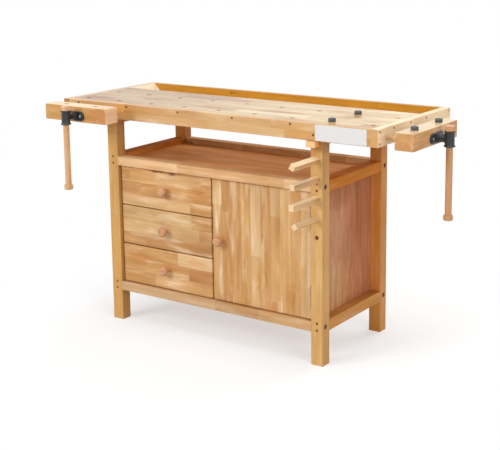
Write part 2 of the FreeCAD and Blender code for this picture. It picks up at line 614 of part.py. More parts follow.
# ---- Rails -------------------------------------------------------------------------------------
rail_levels = {"upper": (upper_rail_bottom, upper_rail_top), "lower": (LOWER_RAIL_BOTTOM, lower_rail_top)}
back_rails = []
for level, z in rail_levels.items():
    side_rails = [eased(block(x, (LEG_DEPTH, leg_back_front), z), Y_AXIS, RAIL_EDGE_ROUNDING)
                  for x in leg_x.values()]
    parts["side_rails_" + level] = [cut_all(rail, panels + frame_cuts) for rail in side_rails]
    front_rail = eased(block((inner_left, inner_right), (0, RAIL_THICKNESS),
                             (z[0], z[0] + FRONT_RAIL_HEIGHT)), X_AXIS, RAIL_EDGE_ROUNDING)
    parts["front_rail_" + level] = [cut_all(front_rail, panels + frame_cuts)]
    back_rail = eased(block((inner_left, inner_right), (back_inner, FRAME_DEPTH), z), X_AXIS,
                      RAIL_EDGE_ROUNDING)
    back_rails.append(cut_all(back_rail, panels + frame_cuts))
parts["back_rails"] = back_rails

# ---- Divider and drawer runners ------------------------------------------------------------------
divider = block((divider_left, divider_right), (front_back_face + DIVIDER_CLEARANCE, back_inner),
                (floor_top, shelf_bottom))
for low, high in rail_levels.values():
    divider = divider.cut(block((divider_left, divider_right), (0, RAIL_THICKNESS),
                                (low, low + FRONT_RAIL_HEIGHT)))
parts["cabinet_divider"] = [divider]

opening_height = upper_rail_bottom - opening_bottom
front_height = (opening_height - (DRAWER_COUNT + 1) * FRONT_GAP) / DRAWER_COUNT
drawer_bottoms = [opening_bottom + FRONT_GAP + i * (front_height + FRONT_GAP)
                  for i in range(DRAWER_COUNT)]
drawer_bottoms.reverse()          # drawer 1 is the top one
box_x = (inner_left + DRAWER_SIDE_GAP, divider_left - DRAWER_SIDE_GAP)
box_back = back_inner - DRAWER_BACK_GAP
runner_width = DRAWER_SIDE_GAP + RUNNER_ENGAGEMENT
runners = []
for low in drawer_bottoms:
    middle = low + front_height / 2
    runner_z = (middle - RUNNER_HEIGHT / 2, middle + RUNNER_HEIGHT / 2)
    runner_y = (RAIL_THICKNESS, leg_back_front)
    runners.append(block((inner_left, inner_left + runner_width), runner_y, runner_z))
    runners.append(block((divider_left - runner_width, divider_left), runner_y, runner_z))
parts["drawer_runners"] = runners

# ---- Drawers -------------------------------------------------------------------------------------
front_x = (inner_left + FRONT_GAP, -MEETING_GAP / 2)
drawer_knob_x = (front_x[0] + front_x[1]) / 2
for number, low in enumerate(drawer_bottoms, start=1):
    name = "drawer_" + str(number) + "_"
    middle = low + front_height / 2
    front = eased_all(block(front_x, (FRONT_RECESS, front_back_face), (low, low + front_height)),
                      FRONT_EDGE_ROUNDING)
    parts[name + "front"] = [front.cut(knob_hole(drawer_knob_x, middle))]
    parts[name + "knob"] = [cabinet_knob(drawer_knob_x, middle)]

    box_low = low + DRAWER_BOX_RAISE
    box_high = low + front_height - DRAWER_BOX_DROP
    base_low = box_low + DRAWER_BASE_INSET
    base_high = base_low + DRAWER_BASE_THICKNESS
    inner_x = (box_x[0] + DRAWER_WALL, box_x[1] - DRAWER_WALL)
    base = block((inner_x[0] - DRAWER_BASE_HOUSING, inner_x[1] + DRAWER_BASE_HOUSING),
                 (front_back_face, box_back), (base_low, base_high))
    groove_depth = RUNNER_ENGAGEMENT + SLIDE_CLEARANCE
    groove_z = (middle - RUNNER_HEIGHT / 2 - SLIDE_CLEARANCE,
                middle + RUNNER_HEIGHT / 2 + SLIDE_CLEARANCE)
    left = block((box_x[0], inner_x[0]), (front_back_face, box_back), (box_low, box_high))
    left = left.cut([base, block((box_x[0], box_x[0] + groove_depth), (front_back_face, box_back),
                                 groove_z)])
    right = block((inner_x[1], box_x[1]), (front_back_face, box_back), (box_low, box_high))
    right = right.cut([base, block((box_x[1] - groove_depth, box_x[1]), (front_back_face, box_back),
                                   groove_z)])
    rear = block(inner_x, (box_back - DRAWER_WALL, box_back), (base_high, box_high))
    parts[name + "box"] = [left, right, rear, base]

# ---- Door ----------------------------------------------------------------------------------------
door_x = (MEETING_GAP / 2, inner_right - HINGE_GAP)
door_z = (opening_bottom + FRONT_GAP, upper_rail_bottom - FRONT_GAP)
door_knob_x = door_x[0] + DOOR_KNOB_INSET
door_middle = (door_z[0] + door_z[1]) / 2
door = eased_all(block(door_x, (FRONT_RECESS, front_back_face), door_z), FRONT_EDGE_ROUNDING)
parts["door_panel"] = [door.cut(knob_hole(door_knob_x, door_middle))]
parts["door_knob"] = [cabinet_knob(door_knob_x, door_middle)]
parts["hinge_leg_leaves"] = []
parts["hinge_door_leaves"] = []
for middle in (door_z[0] + HINGE_END_MARGIN, door_z[1] - HINGE_END_MARGIN):
    leg_leaf, door_leaf, pin = hinge(middle)
    parts["hinge_leg_leaves"].append(leg_leaf)
    parts["hinge_door_leaves"] += [door_leaf, pin]

# ---- Screws of the worktop -------------------------------------------------------------------------
slab_middle_z = TOP_HEIGHT - SLAB_THICKNESS / 2
bearer_screw_z = (apron_bottom + slab_bottom) / 2
screw_room = top_right - TOP_SCREW_END_MARGIN - slab_left
apron_screws = [Vector(top_right - TOP_SCREW_END_MARGIN - i * TOP_SCREW_PITCH, top_front, slab_middle_z)
                for i in range(int(screw_room // TOP_SCREW_PITCH) + 1)]
apron_screws += [Vector(side * leg_middle, top_front, bearer_screw_z) for side in (-1, 1)]
apron_middle = top_front + APRON_THICKNESS / 2
cap_screws = [(apron_middle, slab_middle_z), (apron_middle, apron_bottom + SLAB_THICKNESS / 2)]
cap_screws += [(slab_front + (slab_back - slab_front) * share, slab_middle_z)
               for share in CAP_SCREW_SHARES]
cap_screws.append((tray_back + TRAY_BACK_RAIL_THICKNESS / 2, slab_middle_z))
top_screws = []
top_cuts = []
screw_places = [(point, Y_AXIS) for point in apron_screws]
for face_x, way in ((top_left, X_AXIS), (top_right, -X_AXIS)):
    screw_places += [(Vector(face_x, y, z), way) for y, z in cap_screws]
for point, way in screw_places:
    top_screws.append(fastener(point, way, TOP_SCREW_RECESS_DEPTH, TOP_SCREW_HEAD_DIAMETER,
                               TOP_SCREW_HEAD_HEIGHT, TOP_SCREW_DIAMETER, TOP_SCREW_LENGTH))
    top_cuts.append(fastener_hole(point, way, TOP_SCREW_RECESS_DEPTH, TOP_SCREW_HEAD_DIAMETER,
                                  TOP_SCREW_DIAMETER, TOP_SCREW_LENGTH))
parts["worktop_screws"] = top_screws

# ---- Bearers: notched at the ends, full height under the slab ----------------------------------------
bearers = []
for x in leg_x.values():
    low = block(x, (top_front - BEARER_FRONT_PROJECTION, top_back - BEARER_BACK_INSET),
                (leg_top, apron_bottom))
    low = eased(low, Y_AXIS, RAIL_EDGE_ROUNDING)
    high = block(x, (slab_front, tray_inner_front), (leg_top + BEARER_HEIGHT / 2, slab_bottom))
    bearers.append(cut_all(low.fuse(high).removeSplitter(), top_cuts))
parts["top_bearers"] = bearers

# ---- Worktop -----------------------------------------------------------------------------------------
slab = block((slab_left, slab_right), (slab_front, slab_back), (slab_bottom, TOP_HEIGHT))
dog_holes = [bar(Vector(x, y, slab_bottom), Z_AXIS, SLAB_THICKNESS, DOG_HOLE_DIAMETER)
             for x in dog_columns for y in dog_rows]
parts["worktop_slab"] = [cut_all(slab, dog_holes + top_cuts)]

front_vise_holes = [at_front(cut) for cut in vise_wall_cuts(APRON_THICKNESS)]
apron = block((slab_left, slab_right), (top_front, slab_front), (apron_bottom, TOP_HEIGHT))
apron = eased(apron, X_AXIS, TOP_EDGE_ROUNDING)
parts["front_apron"] = [cut_all(apron, front_vise_holes + top_cuts)]

tray_floor = block((slab_left, slab_right),
                   (slab_back - TRAY_FLOOR_HOUSING, tray_back + TRAY_FLOOR_HOUSING),
                   (tray_floor_top - TRAY_FLOOR_THICKNESS, tray_floor_top))
parts["tray_floor"] = [tray_floor]
inner_rail = block((slab_left, slab_right), (tray_inner_front, slab_back), (apron_bottom, slab_bottom))
parts["tray_inner_rail"] = [cut_all(inner_rail, [tray_floor] + top_cuts)]
back_rail = block((slab_left, slab_right), (tray_back, top_back), (apron_bottom, TOP_HEIGHT))
parts["tray_back_rail"] = [cut_all(eased(back_rail, X_AXIS, TOP_EDGE_ROUNDING), [tray_floor] + top_cuts)]


def tray_ramp(foot_x, direction):
    """Half-square strip that slopes from the worktop down to the tray floor."""
    corners = [Vector(foot_x, slab_back, tray_floor_top), Vector(foot_x, slab_back, TOP_HEIGHT),
               Vector(foot_x + direction * TRAY_DEPTH, slab_back, tray_floor_top)]
    return Part.Face(Part.makePolygon(corners + corners[:1])).extrude(Y_AXIS * TRAY_WIDTH)


parts["tray_ramps"] = [tray_ramp(slab_left, 1), tray_ramp(slab_right, -1)]

end_vise_holes = [at_end(cut) for cut in vise_wall_cuts(END_CAP_THICKNESS)]
cap_y = (top_front, top_back)
for side, x in {"left": (top_left, slab_left), "right": (slab_right, top_right)}.items():
    cap = eased(block(x, cap_y, (apron_bottom, TOP_HEIGHT)), Y_AXIS, TOP_EDGE_ROUNDING)
    cuts = list(top_cuts)
    if side == "right":
        cuts += end_vise_holes
    parts["end_cap_" + side] = [cut_all(cap, cuts)]

# ---- Vises -------------------------------------------------------------------------------------------
dog_wells = [bar(Vector(x, y, vise_axis_z), Z_AXIS, slab_bottom - vise_axis_z, DOG_HOLE_DIAMETER)
             for x in dog_columns for y in dog_rows]
guides = [at_front(guide) for guide in vise_guides(APRON_THICKNESS)]
guides += [at_end(guide) for guide in vise_guides(END_CAP_THICKNESS)]
parts["vise_guides"] = [cut_all(guide, dog_wells) for guide in guides]
parts["vise_nuts"] = [at_front(vise_nut(APRON_THICKNESS)), at_end(vise_nut(END_CAP_THICKNESS))]
vises = {"front": (at_front, FRONT_JAW_LENGTH, FRONT_VISE_GAP, FRONT_JAW_DOG_SPACING),
         "end": (at_end, END_JAW_LENGTH, END_VISE_GAP, DOG_ROW_SPACING)}
for name, (place, jaw_length, gap, dog_spacing) in vises.items():
    parts[name + "_vise_jaw"] = [place(vise_jaw(jaw_length, gap, dog_spacing))]
    parts[name + "_vise_rods"] = [place(rod) for rod in vise_rods(gap)]
    parts[name + "_vise_flange"] = [place(vise_flange(gap))]
    parts[name + "_vise_screw"] = [place(piece) for piece in vise_screw(gap)]
    parts[name + "_vise_handle"] = [place(piece) for piece in vise_handle(gap)]

# ---- Dogs: two in the worktop by the end vise, two in the end jaw ---------------------------------------
dog_column = dog_columns[1]
end_jaw_middle = top_right + END_VISE_GAP + JAW_THICKNESS / 2
for y, row in zip(dog_rows, ("front", "back")):
    parts["dog_top_" + row] = [bench_dog(dog_column, y, TOP_HEIGHT, 1)]
    parts["dog_jaw_" + row] = [bench_dog(end_jaw_middle, y, TOP_HEIGHT - JAW_DROP, -1)]

# ---- Pegs --------------------------------------------------------------------------------------------
for number in range(PEG_COUNT):
    parts["peg_" + str(number + 1)] = [peg(peg_levels[number], PEG_LENGTHS[number], PEG_ROLLS[number])]

# ---- Move the origin to the bottom centre and write the files -------------------------------------------
whole = Part.makeCompound([solid for solids in parts.values() for solid in solids])
bounds = whole.optimalBoundingBox(False, False)
origin = Vector((bounds.XMin + bounds.XMax) / 2, (bounds.YMin + bounds.YMax) / 2, bounds.ZMin)

os.makedirs("parts", exist_ok=True)
for name, solids in parts.items():
    piece = Part.makeCompound(solids) if len(solids) > 1 else solids[0]
    piece = piece.copy()
    piece.translate(-origin)
    piece.exportStep("parts/" + name + ".step")
print(len(parts), "nodes, origin at", origin)
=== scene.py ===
# %% [markdown]
# # A joiner's workbench
# The bench stands ready as measured wooden and metal pieces, each riding on the body that carries it.
# This lesson gives every piece its finish, cuts the threads and casts the iron that the plain solids
# leave out, and sets it all under studio light. First the measured pieces are loaded. They are the
# fixed frame, so nothing here moves them.

import math

import bmesh
import bpy
import numpy as np
from mathutils import Matrix, Vector


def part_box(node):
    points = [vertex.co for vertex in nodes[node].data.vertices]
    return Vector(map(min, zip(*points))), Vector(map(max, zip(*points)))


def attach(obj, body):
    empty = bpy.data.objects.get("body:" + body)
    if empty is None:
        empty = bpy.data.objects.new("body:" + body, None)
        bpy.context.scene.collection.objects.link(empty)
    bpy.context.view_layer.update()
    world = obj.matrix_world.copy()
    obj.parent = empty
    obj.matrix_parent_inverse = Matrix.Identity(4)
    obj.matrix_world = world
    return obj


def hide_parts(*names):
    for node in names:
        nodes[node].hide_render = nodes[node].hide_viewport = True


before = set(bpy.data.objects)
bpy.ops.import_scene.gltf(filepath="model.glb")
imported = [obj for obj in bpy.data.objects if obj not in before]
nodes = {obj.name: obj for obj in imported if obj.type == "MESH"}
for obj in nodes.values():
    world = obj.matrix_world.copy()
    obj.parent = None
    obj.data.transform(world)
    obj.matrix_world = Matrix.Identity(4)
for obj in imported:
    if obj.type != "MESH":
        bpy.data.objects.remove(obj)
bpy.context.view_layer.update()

# %% [markdown]
# ## The camera
# The bench is looked at from its front right, from a little above the worktop. A long lens keeps the
# edges nearly parallel. The eye's place and the three turns were worked out from the bench's corners,
# so the camera is built straight from them: where it looks, what is right and what is up. The middle
# of the view lies below the lens's own axis, so the lens is shifted a little instead of tilted.

# %% The camera
VIEW_WIDTH = 500
FOCAL_LENGTH = 1148.0
SHIFT_DOWN = 75
SENSOR_MM = 36.0
FARTHEST = 50
EYE = Vector((2.33104, -3.37887, 1.50610))
YAW, PITCH, ROLL = 0.610292, 0.192422, -0.012819


def aimed(yaw, pitch, roll):
    """Rotation of a camera: yaw turns to the left, pitch looks down and roll tips the view."""
    level = math.cos(pitch)
    forward = Vector((-math.sin(yaw) * level, math.cos(yaw) * level, -math.sin(pitch)))
    right = Vector((math.cos(yaw), math.sin(yaw), 0))
    up = right.cross(forward)
    tipped_right = math.cos(roll) * right + math.sin(roll) * up
    tipped_up = math.cos(roll) * up - math.sin(roll) * right
    return Matrix((tipped_right, tipped_up, -forward)).transposed()


camera = bpy.data.objects.new("camera", bpy.data.cameras.new("camera"))
bpy.context.scene.collection.objects.link(camera)
camera.data.sensor_width = SENSOR_MM
camera.data.lens = FOCAL_LENGTH * SENSOR_MM / VIEW_WIDTH
camera.data.shift_y = -SHIFT_DOWN / VIEW_WIDTH
camera.data.clip_end = FARTHEST
camera.matrix_world = Matrix.Translation(EYE) @ aimed(YAW, PITCH, ROLL).to_4x4()
bpy.context.scene.camera = camera
print("lens", round(camera.data.lens, 2), "mm")

# %% [markdown]
# ## Small tools for materials
# A wood can't be one flat colour. It is put together from small arithmetic steps on the place of each
# point, and those steps are nodes. Two helpers come first: one reads a colour, and one adds a node.


# %% Colours and nodes
def srgb(red, green, blue):
    """A colour as it is read off a screen, 0 to 255, made linear for the shaders."""
    screen = np.array([red, green, blue]) / 255
    linear = np.where(screen <= 0.04045, screen / 12.92, ((screen + 0.055) / 1.055) ** 2.4)
    return (*linear.tolist(), 1.0)


def add(tree, kind, inputs=(), **settings):
    """A node of a kind, its settings set and its inputs given as (socket, value or output) pairs."""
    node = tree.nodes.new("ShaderNode" + kind)
    for name, value in settings.items():
        setattr(node, name, value)
    for socket, value in inputs:
        value = getattr(value, "output", value)
        if isinstance(value, bpy.types.NodeSocket):
            tree.links.new(value, node.inputs[socket])
        else:
            node.inputs[socket].default_value = value
    return node


print("a mid grey of 128 is", round(srgb(128, 128, 128)[0], 3), "in linear light")

# %% [markdown]
# A number that a node works out is wrapped, so that sums and products of such numbers can be written as
# plain formulas. Each plus or times in them adds one more node.


# %% Numbers
def sign(operation):
    """The method that stands behind a sign of arithmetic, such as a plus."""
    return lambda first, second: first.step(operation, second)


class Number:
    """A number that a node works out. Its sums, products and powers are nodes as well."""

    __add__, __sub__, __mul__ = sign("ADD"), sign("SUBTRACT"), sign("MULTIPLY")
    __truediv__, __pow__ = sign("DIVIDE"), sign("POWER")

    def __init__(self, output):
        self.output = output
        self.tree = output.id_data

    def step(self, operation, *others):
        """One step of arithmetic that starts from this number."""
        values = enumerate([self, *others])
        return Number(add(self.tree, "Math", values, operation=operation).outputs[0])

    def spread(self, low, high, to_low=0.0, to_high=1.0):
        """The number moved from between low and high to between to_low and to_high, and held there."""
        values = enumerate([self, low, high, to_low, to_high])
        return Number(add(self.tree, "MapRange", values).outputs[0])


def xyz(tree, of="Object"):
    """Three numbers: a point's place, or with "Normal" the direction that its face looks in."""
    vector = add(tree, "TexCoord").outputs[of]
    return [Number(part) for part in add(tree, "SeparateXYZ", [(0, vector)]).outputs]


def distance(first, second):
    """The square root of first squared + second squared."""
    return (first * first + second * second).step("SQRT")


print("numbers take + - * / and **")


# %% Mixed colours and new materials
def blended(tree, share, first, second, how="MIX"):
    """Two colours mixed by a share."""
    return add(tree, "MixRGB", [(0, share), (1, first), (2, second)], blend_type=how).outputs[0]


def toned(share, colour, factor):
    """A colour multiplied by a red, green and blue factor, by a share."""
    return blended(share.tree, share, colour, (*factor, 1.0), "MULTIPLY")


def new_material(name):
    """An empty node material with a Principled shader. Gives (material, tree, shader)."""
    material = bpy.data.materials.new(name)
    material.use_nodes = True
    tree = material.node_tree
    return material, tree, tree.nodes["Principled BSDF"]


def wire(node, socket, value):
    """Leads a number, a colour or a shader into a socket of a node."""
    node.id_data.links.new(getattr(value, "output", value), node.inputs[socket])


print(len(bpy.data.materials), "materials so far")

# %% [markdown]
# ## Wood glued up from staves
# Nearly every board on the bench is glued up from narrow staves, and each stave from shorter lengths
# with little fingers cut in their ends. Neighbours come from different trees, so their colours differ
# from honey to pale cream. One solid pattern does for all of them, worked out in three steps:
#
# 1. The place of a point is sorted into along the grain, across the staves and through the board.
# 2. Rounding the across and along places down gives the number of the stave and of the length in it.
#    A random number made from those two picks the colour.
# 3. Inside each length, yearly rings around a far-off middle of the tree, soft streaks, pale wisps and
#    fine short pores shade the colour.
#
# Because it is a pattern in space and not a wrapped image, end grain and side grain belong together.
# The first cell finds the stave and the length that a point lies in.

# %% Which stave and which length
FINGER_PITCH = 0.005
LENGTHS_SHIFTED = 7.3
BETWEEN_NUMBERS = 0.37


def stave_cell(a, b, stave, length, start, seed, fingers):
    """Stave = floor((b - start) / stave). Length = floor((a + zigzag) / length + a random shift).

    Gives (random number, its colour, place across the stave, distance to the nearest glue line).
    """
    stave_place = (b - start) / stave
    number, across = stave_place.step("FLOOR"), stave_place.step("FRACT")
    shift = add(b.tree, "TexWhiteNoise", [("W", number + (seed + BETWEEN_NUMBERS))], noise_dimensions="1D")
    zigzag = b.step("PINGPONG", FINGER_PITCH) * (fingers / FINGER_PITCH)
    length_place = (a + zigzag) * (1 / length) + Number(shift.outputs["Value"]) * LENGTHS_SHIFTED
    pair = add(b.tree, "CombineXYZ", enumerate([number, length_place.step("FLOOR"), seed]))
    chance = add(b.tree, "TexWhiteNoise", [("Vector", pair.outputs[0])], noise_dimensions="3D").outputs
    gaps = []
    for part, size in ((across, stave), (length_place.step("FRACT"), length)):
        gaps.append(part.step("MINIMUM", part * -1 + 1) * size)
    return Number(chance["Value"]), chance["Color"], across, gaps[0].step("MINIMUM", gaps[1])


print("fingers", FINGER_PITCH * 1000, "mm apart")

# %% [markdown]
# The second cell makes the marks inside a length of wood. Each mark is a number near one that will
# multiply the colour. Every noise is stretched along the grain, the finer the mark the more, and each
# length of wood reads it far from where its neighbours do. The table gives for every mark the scales of
# its noise along and across the grain, a jump to another part of the noise, the number of finer layers,
# between which values the mark turns, and by how much it makes the wood paler and darker.

# %% Marks of the grain
GRAIN = {"streaks": ((3.0, 55.0), 0.0, 4.0, (0.35, 0.68), 0.06, 0.12),
         "clouds": ((4.0, 16.0), 3.0, 2.0, (0.35, 0.65), 0.08, 0.14),
         "pores": ((45.0, 800.0), 0.0, 2.0, (0.58, 0.74), 0.0, 0.25)}
WISPS, WISP_JUMP = (6.0, 34.0), 9.0
WANDER, WANDER_JUMP, WANDER_RINGS = (1.7, 9.0), 31.0, 9.0
HEART_SIDEWAYS = 0.12
HEART_NEAREST, HEART_FARTHER = 0.03, 0.09
RING_DEPTH = 0.07


def stretched_noise(place, scales, shift=0.0, detail=3.0):
    """Noise read at along x the first scale + shift, and at across and through x the second."""
    parts = [part * scale for part, scale in zip(place, (*scales, scales[1]))]
    parts[0] += shift
    tree = parts[0].tree
    vector = add(tree, "CombineXYZ", enumerate(parts)).outputs[0]
    noise = add(tree, "TexNoise", [("Vector", vector), ("Scale", 1.0), ("Detail", detail)])
    return Number(noise.outputs["Fac"])


def ring_mark(place, across, stave, chance, colour_chance, ring, depth):
    """Yearly rings: the fraction of (distance to a far middle / ring + slow wander), late wood darker."""
    throws = add(chance.tree, "SeparateColor", [(0, colour_chance)]).outputs
    wander = stretched_noise(place, WANDER, chance * WANDER_JUMP)
    sideways = across * stave + (Number(throws[0]) * HEART_SIDEWAYS - HEART_SIDEWAYS / 2)
    inwards = place[2] + (Number(throws[1]) * HEART_FARTHER + HEART_NEAREST)
    year = (distance(sideways, inwards) * (1 / ring) + wander * WANDER_RINGS).step("FRACT")
    return year.spread(0.5, 1.0, 1.0 + depth / 3, 1.0 - depth)


print("pores", round(1000 / GRAIN["pores"][0][1], 2), "mm apart across the grain")

# %% [markdown]
# The third cell turns a random number into a colour. A ramp holds the tones of a wood, never more than
# five here, and the number is a place on it. The same cell has the helper that dresses a piece.


# %% Tones and dressing
def random_tone(chance, tones, shares):
    """A colour for a random number: tones at even shares of the range, or at the shares given."""
    ramp = add(chance.tree, "ValToRGB", [(0, chance)])
    stops = ramp.color_ramp.elements
    while len(stops) < len(tones):
        stops.new(0.5)
    for stop, share, tone in zip(stops, shares or np.linspace(0, 1, len(tones)), tones):
        stop.position = share
        stop.color = srgb(*tone)
    return ramp.outputs["Color"]


def dressed(material, *names):
    """Gives a material to the slots of measured pieces."""
    for name in names:
        for slot in nodes[name].material_slots:
            slot.material = material
    print(material.name, "on", ", ".join(names))


print(sum(len(nodes[name].material_slots) for name in nodes), "slots to dress")

# %% [markdown]
# The fourth cell puts all of this together into a finished wood. Where a mark darkens the wood, blue
# fades first and red last, as it does in real wood, so the marks turn brown and not grey. Sawn ends
# are paler than the long faces, because the open pores scatter light. A face is an end where its own
# direction runs along the grain. Where asked, upward faces are painted paler as well: painted light
# from above. The finish is a thin satin varnish: smooth enough to mirror the pale room at a low angle,
# a little duller in the pores, and weak when it is looked at squarely.

# %% Staved wood
AXES = {"X": 0, "Y": 1, "Z": 2}
VARNISH_IOR, OILED_IOR, DULL_IOR = 1.36, 1.2, 1.1
PALE_END = (0.1, (240, 206, 164))
SAPWOOD = srgb(236, 208, 172)
SEAM = 0.0006
LENGTH_JUMP = 57.0
RED_FADES, BLUE_FADES = 0.7, 1.5
GRAIN_HEIGHT = 0.0005


def staved_wood(name, along, across, stave, length, tones, shares=None, seed=0.0, start=0.0, gloss=0.2,
                ior=VARNISH_IOR, contrast=1.0, seam=0.3, ring=0.0035, fingers=0.0035, wisps=0.3,
                ends=PALE_END, tops=None, tint=None):
    """Glued wood. tones are the colours of its lengths, from 0 to 255.

    Colour = tone x rings x streaks x clouds x pores x glue line, with pale wisps and end grain mixed in,
    and where asked painted light on the upward faces.
    """
    material, tree, shader = new_material(name)
    point, face = xyz(tree), xyz(tree, "Normal")
    through = ({"X", "Y", "Z"} - {along, across}).pop()
    place = [point[AXES[axis]] for axis in (along, across, through)]
    chance, colour_chance, in_stave, to_seam = stave_cell(*place[:2], stave, length, start, seed, fingers)
    shift = chance * LENGTH_JUMP
    noises, marks = {}, {}
    for mark, (scales, jump, detail, turn, paler, darker) in GRAIN.items():
        noises[mark] = stretched_noise(place, scales, shift + jump, detail)
        marks[mark] = noises[mark].spread(*turn, 1.0 + paler * contrast, 1.0 - darker * contrast)
    rings = ring_mark(place, in_stave, stave, chance, colour_chance, ring, RING_DEPTH * contrast)
    glue_line = to_seam.spread(0.0, SEAM, 1.0 - seam, 1.0)

    shade = rings * marks["streaks"] * marks["clouds"] * marks["pores"] * glue_line
    brown = add(tree, "CombineXYZ", enumerate([shade ** RED_FADES, shade, shade ** BLUE_FADES]))
    colour = blended(tree, 1.0, random_tone(chance, tones, shares), brown.outputs[0], "MULTIPLY")
    wisp = stretched_noise(place, WISPS, shift + WISP_JUMP).spread(0.54, 0.68, 0.0, wisps)
    colour = blended(tree, wisp, colour, SAPWOOD)
    sawn_end = face[AXES[along]].step("ABSOLUTE").spread(0.6, 0.9, 0.0, ends[0])
    colour = blended(tree, sawn_end, colour, srgb(*ends[1]))
    # Painted light: where asked, upward faces are mixed towards a pale colour, as if lit strongly from
    # above.
    if tops:
        colour = blended(tree, face[2].spread(0.5, 0.8, 0.0, tops[0]), colour, srgb(*tops[1]))
    wire(shader, "Base Color", tint(colour, point) if tint else colour)

    satin = noises["streaks"].spread(0.3, 0.7, gloss - 0.04, gloss + 0.05)
    wire(shader, "Roughness", (marks["pores"] * -1 + 1) * 0.5 + satin)
    height = marks["pores"] * marks["streaks"]
    bump = add(tree, "Bump", [("Strength", 0.2), ("Distance", GRAIN_HEIGHT), ("Height", height)])
    wire(shader, "Normal", bump.outputs[0])
    shader.inputs["IOR"].default_value = ior
    return material


print("glue lines", round(2000 * SEAM, 1), "mm wide")

# %% [markdown]
# ## Odd lengths, patches and knots
# A few places on the bench catch the eye: a length of red heartwood, a pale one, a flame of sapwood, a
# small dark knot. Each is a box or an oval on a face. Inside a box the colour is multiplied. A patch
# multiplies too, but its edge is soft and a stretched noise frays it. A knot is a smooth dark spot whose
# edge a little noise makes uneven.

# %% Boxes, patches and knots
FRAY, FRAY_DEPTH, FRAY_JUMP = (1.3, 3.1), 1.6, 40
KNOT_COLOUR = srgb(112, 56, 24)
KNOT_STRETCH = 0.45
KNOT_ROUGHNESS = 260.0


def within(value, low, high):
    """1 where low < value < high, else 0."""
    return value.step("GREATER_THAN", low) * value.step("LESS_THAN", high)


def patch_share(along, across, middle_1, half_1, middle_2, half_2):
    """1 in an oval, fading to 0 where (a / half_1)^2 + (b / half_2)^2 plus a noise passes 1."""
    a, b = (along - middle_1) / half_1, (across - middle_2) / half_2
    frayed = stretched_noise((a, b), FRAY, middle_1 * FRAY_JUMP)
    return (frayed * FRAY_DEPTH + (a * a + b * b)).spread(0.9, 1.7, 1.0, 0.0)


def knot_share(along, across, middle_1, middle_2, radius):
    """Nearly 1 in the middle of a knot that is drawn out along the first axis."""
    far = distance((along - middle_1) * KNOT_STRETCH, across - middle_2)
    place = add(far.tree, "TexCoord").outputs["Object"]
    rough = add(far.tree, "TexNoise", [("Vector", place), ("Scale", KNOT_ROUGHNESS)]).outputs["Fac"]
    uneven = (Number(rough) - 0.5) * radius + far
    return uneven.spread(radius * 0.3, radius, 0.8, 0.0)


def marked(axes, boxes=(), patches=(), knots=()):
    """Marks on the faces along two axes. Gives a function that tints a colour with them.

    boxes are (low, high, low, high, factor), patches (middle, half, middle, half, factor) and knots
    (middle, middle, radius).
    """
    def tint(colour, point):
        a, b = (point[AXES[axis]] for axis in axes)
        for low_1, high_1, low_2, high_2, factor in boxes:
            colour = toned(within(a, low_1, high_1) * within(b, low_2, high_2), colour, factor)
        for *oval, factor in patches:
            colour = toned(patch_share(a, b, *oval), colour, factor)
        for knot in knots:
            colour = blended(a.tree, knot_share(a, b, *knot), colour, KNOT_COLOUR)
        return colour
    return tint


print("a knot is", round(1 / KNOT_STRETCH, 1), "times as long as it is wide")

# %% [markdown]
# ## The worktop
# The top is glued from cream and honey staves not quite five centimetres wide. Seen at a low angle its
# satin varnish mirrors the pale room, and that is what makes it look almost white. A slow change along
# the top multiplies the colour by a tan painted shade, strongest at the left end, where the varnish
# mirrors less of the room. A few tan patches break it up.

# %% Worktop staves
TAN, DEEP_TAN = (0.8, 0.6, 0.36), (0.72, 0.52, 0.3)
PAINTED_SHADE_LEFT = (0.56, 0.42, 0.26)
TAN_FROM, TAN_TO = -0.8, 0.25
top_patches = marked("XY", patches=[
    (0.12, 0.13, -0.03, 0.03, TAN), (0.39, 0.05, 0.01, 0.035, TAN), (0.25, 0.1, -0.14, 0.02, TAN),
    (0.50, 0.05, -0.05, 0.02, TAN), (-0.12, 0.12, -0.07, 0.022, TAN), (0.30, 0.07, 0.08, 0.02, TAN),
    (-0.45, 0.12, 0.0, 0.03, DEEP_TAN), (-0.30, 0.1, 0.1, 0.025, TAN), (-0.68, 0.1, -0.08, 0.03, DEEP_TAN)])


def painted_shade_left_and_patches(colour, point):
    """Multiplies the colour by a tan painted shade that fades out between the left end and the right of
    the middle, then by the tan patches.
    """
    share = point[0].spread(TAN_FROM, TAN_TO, 1.0, 0.0)
    return top_patches(toned(share, colour, PAINTED_SHADE_LEFT), point)


top_tones = [(184, 136, 78), (200, 162, 106), (212, 182, 130), (220, 194, 146), (228, 206, 162)]
worktop_wood = staved_wood("worktop_staves", "X", "Y", 0.047, 0.31, top_tones, (0, 0.15, 0.4, 0.75, 1),
                           seed=3.0, start=-0.1435, contrast=1.3, wisps=0.4, tint=painted_shade_left_and_patches)
dressed(worktop_wood, "worktop_slab")

# %% [markdown]
# ## The edges round the worktop
# The apron and the two end caps are thicker boards. The apron is a warm tan. The end caps are paler,
# with tan ends, and the left one is a shade darker. Their grain runs along their own length, so the end
# caps get their wood turned a quarter round. The rails of the tray are the most golden wood of the
# bench, with two small knots near the left.

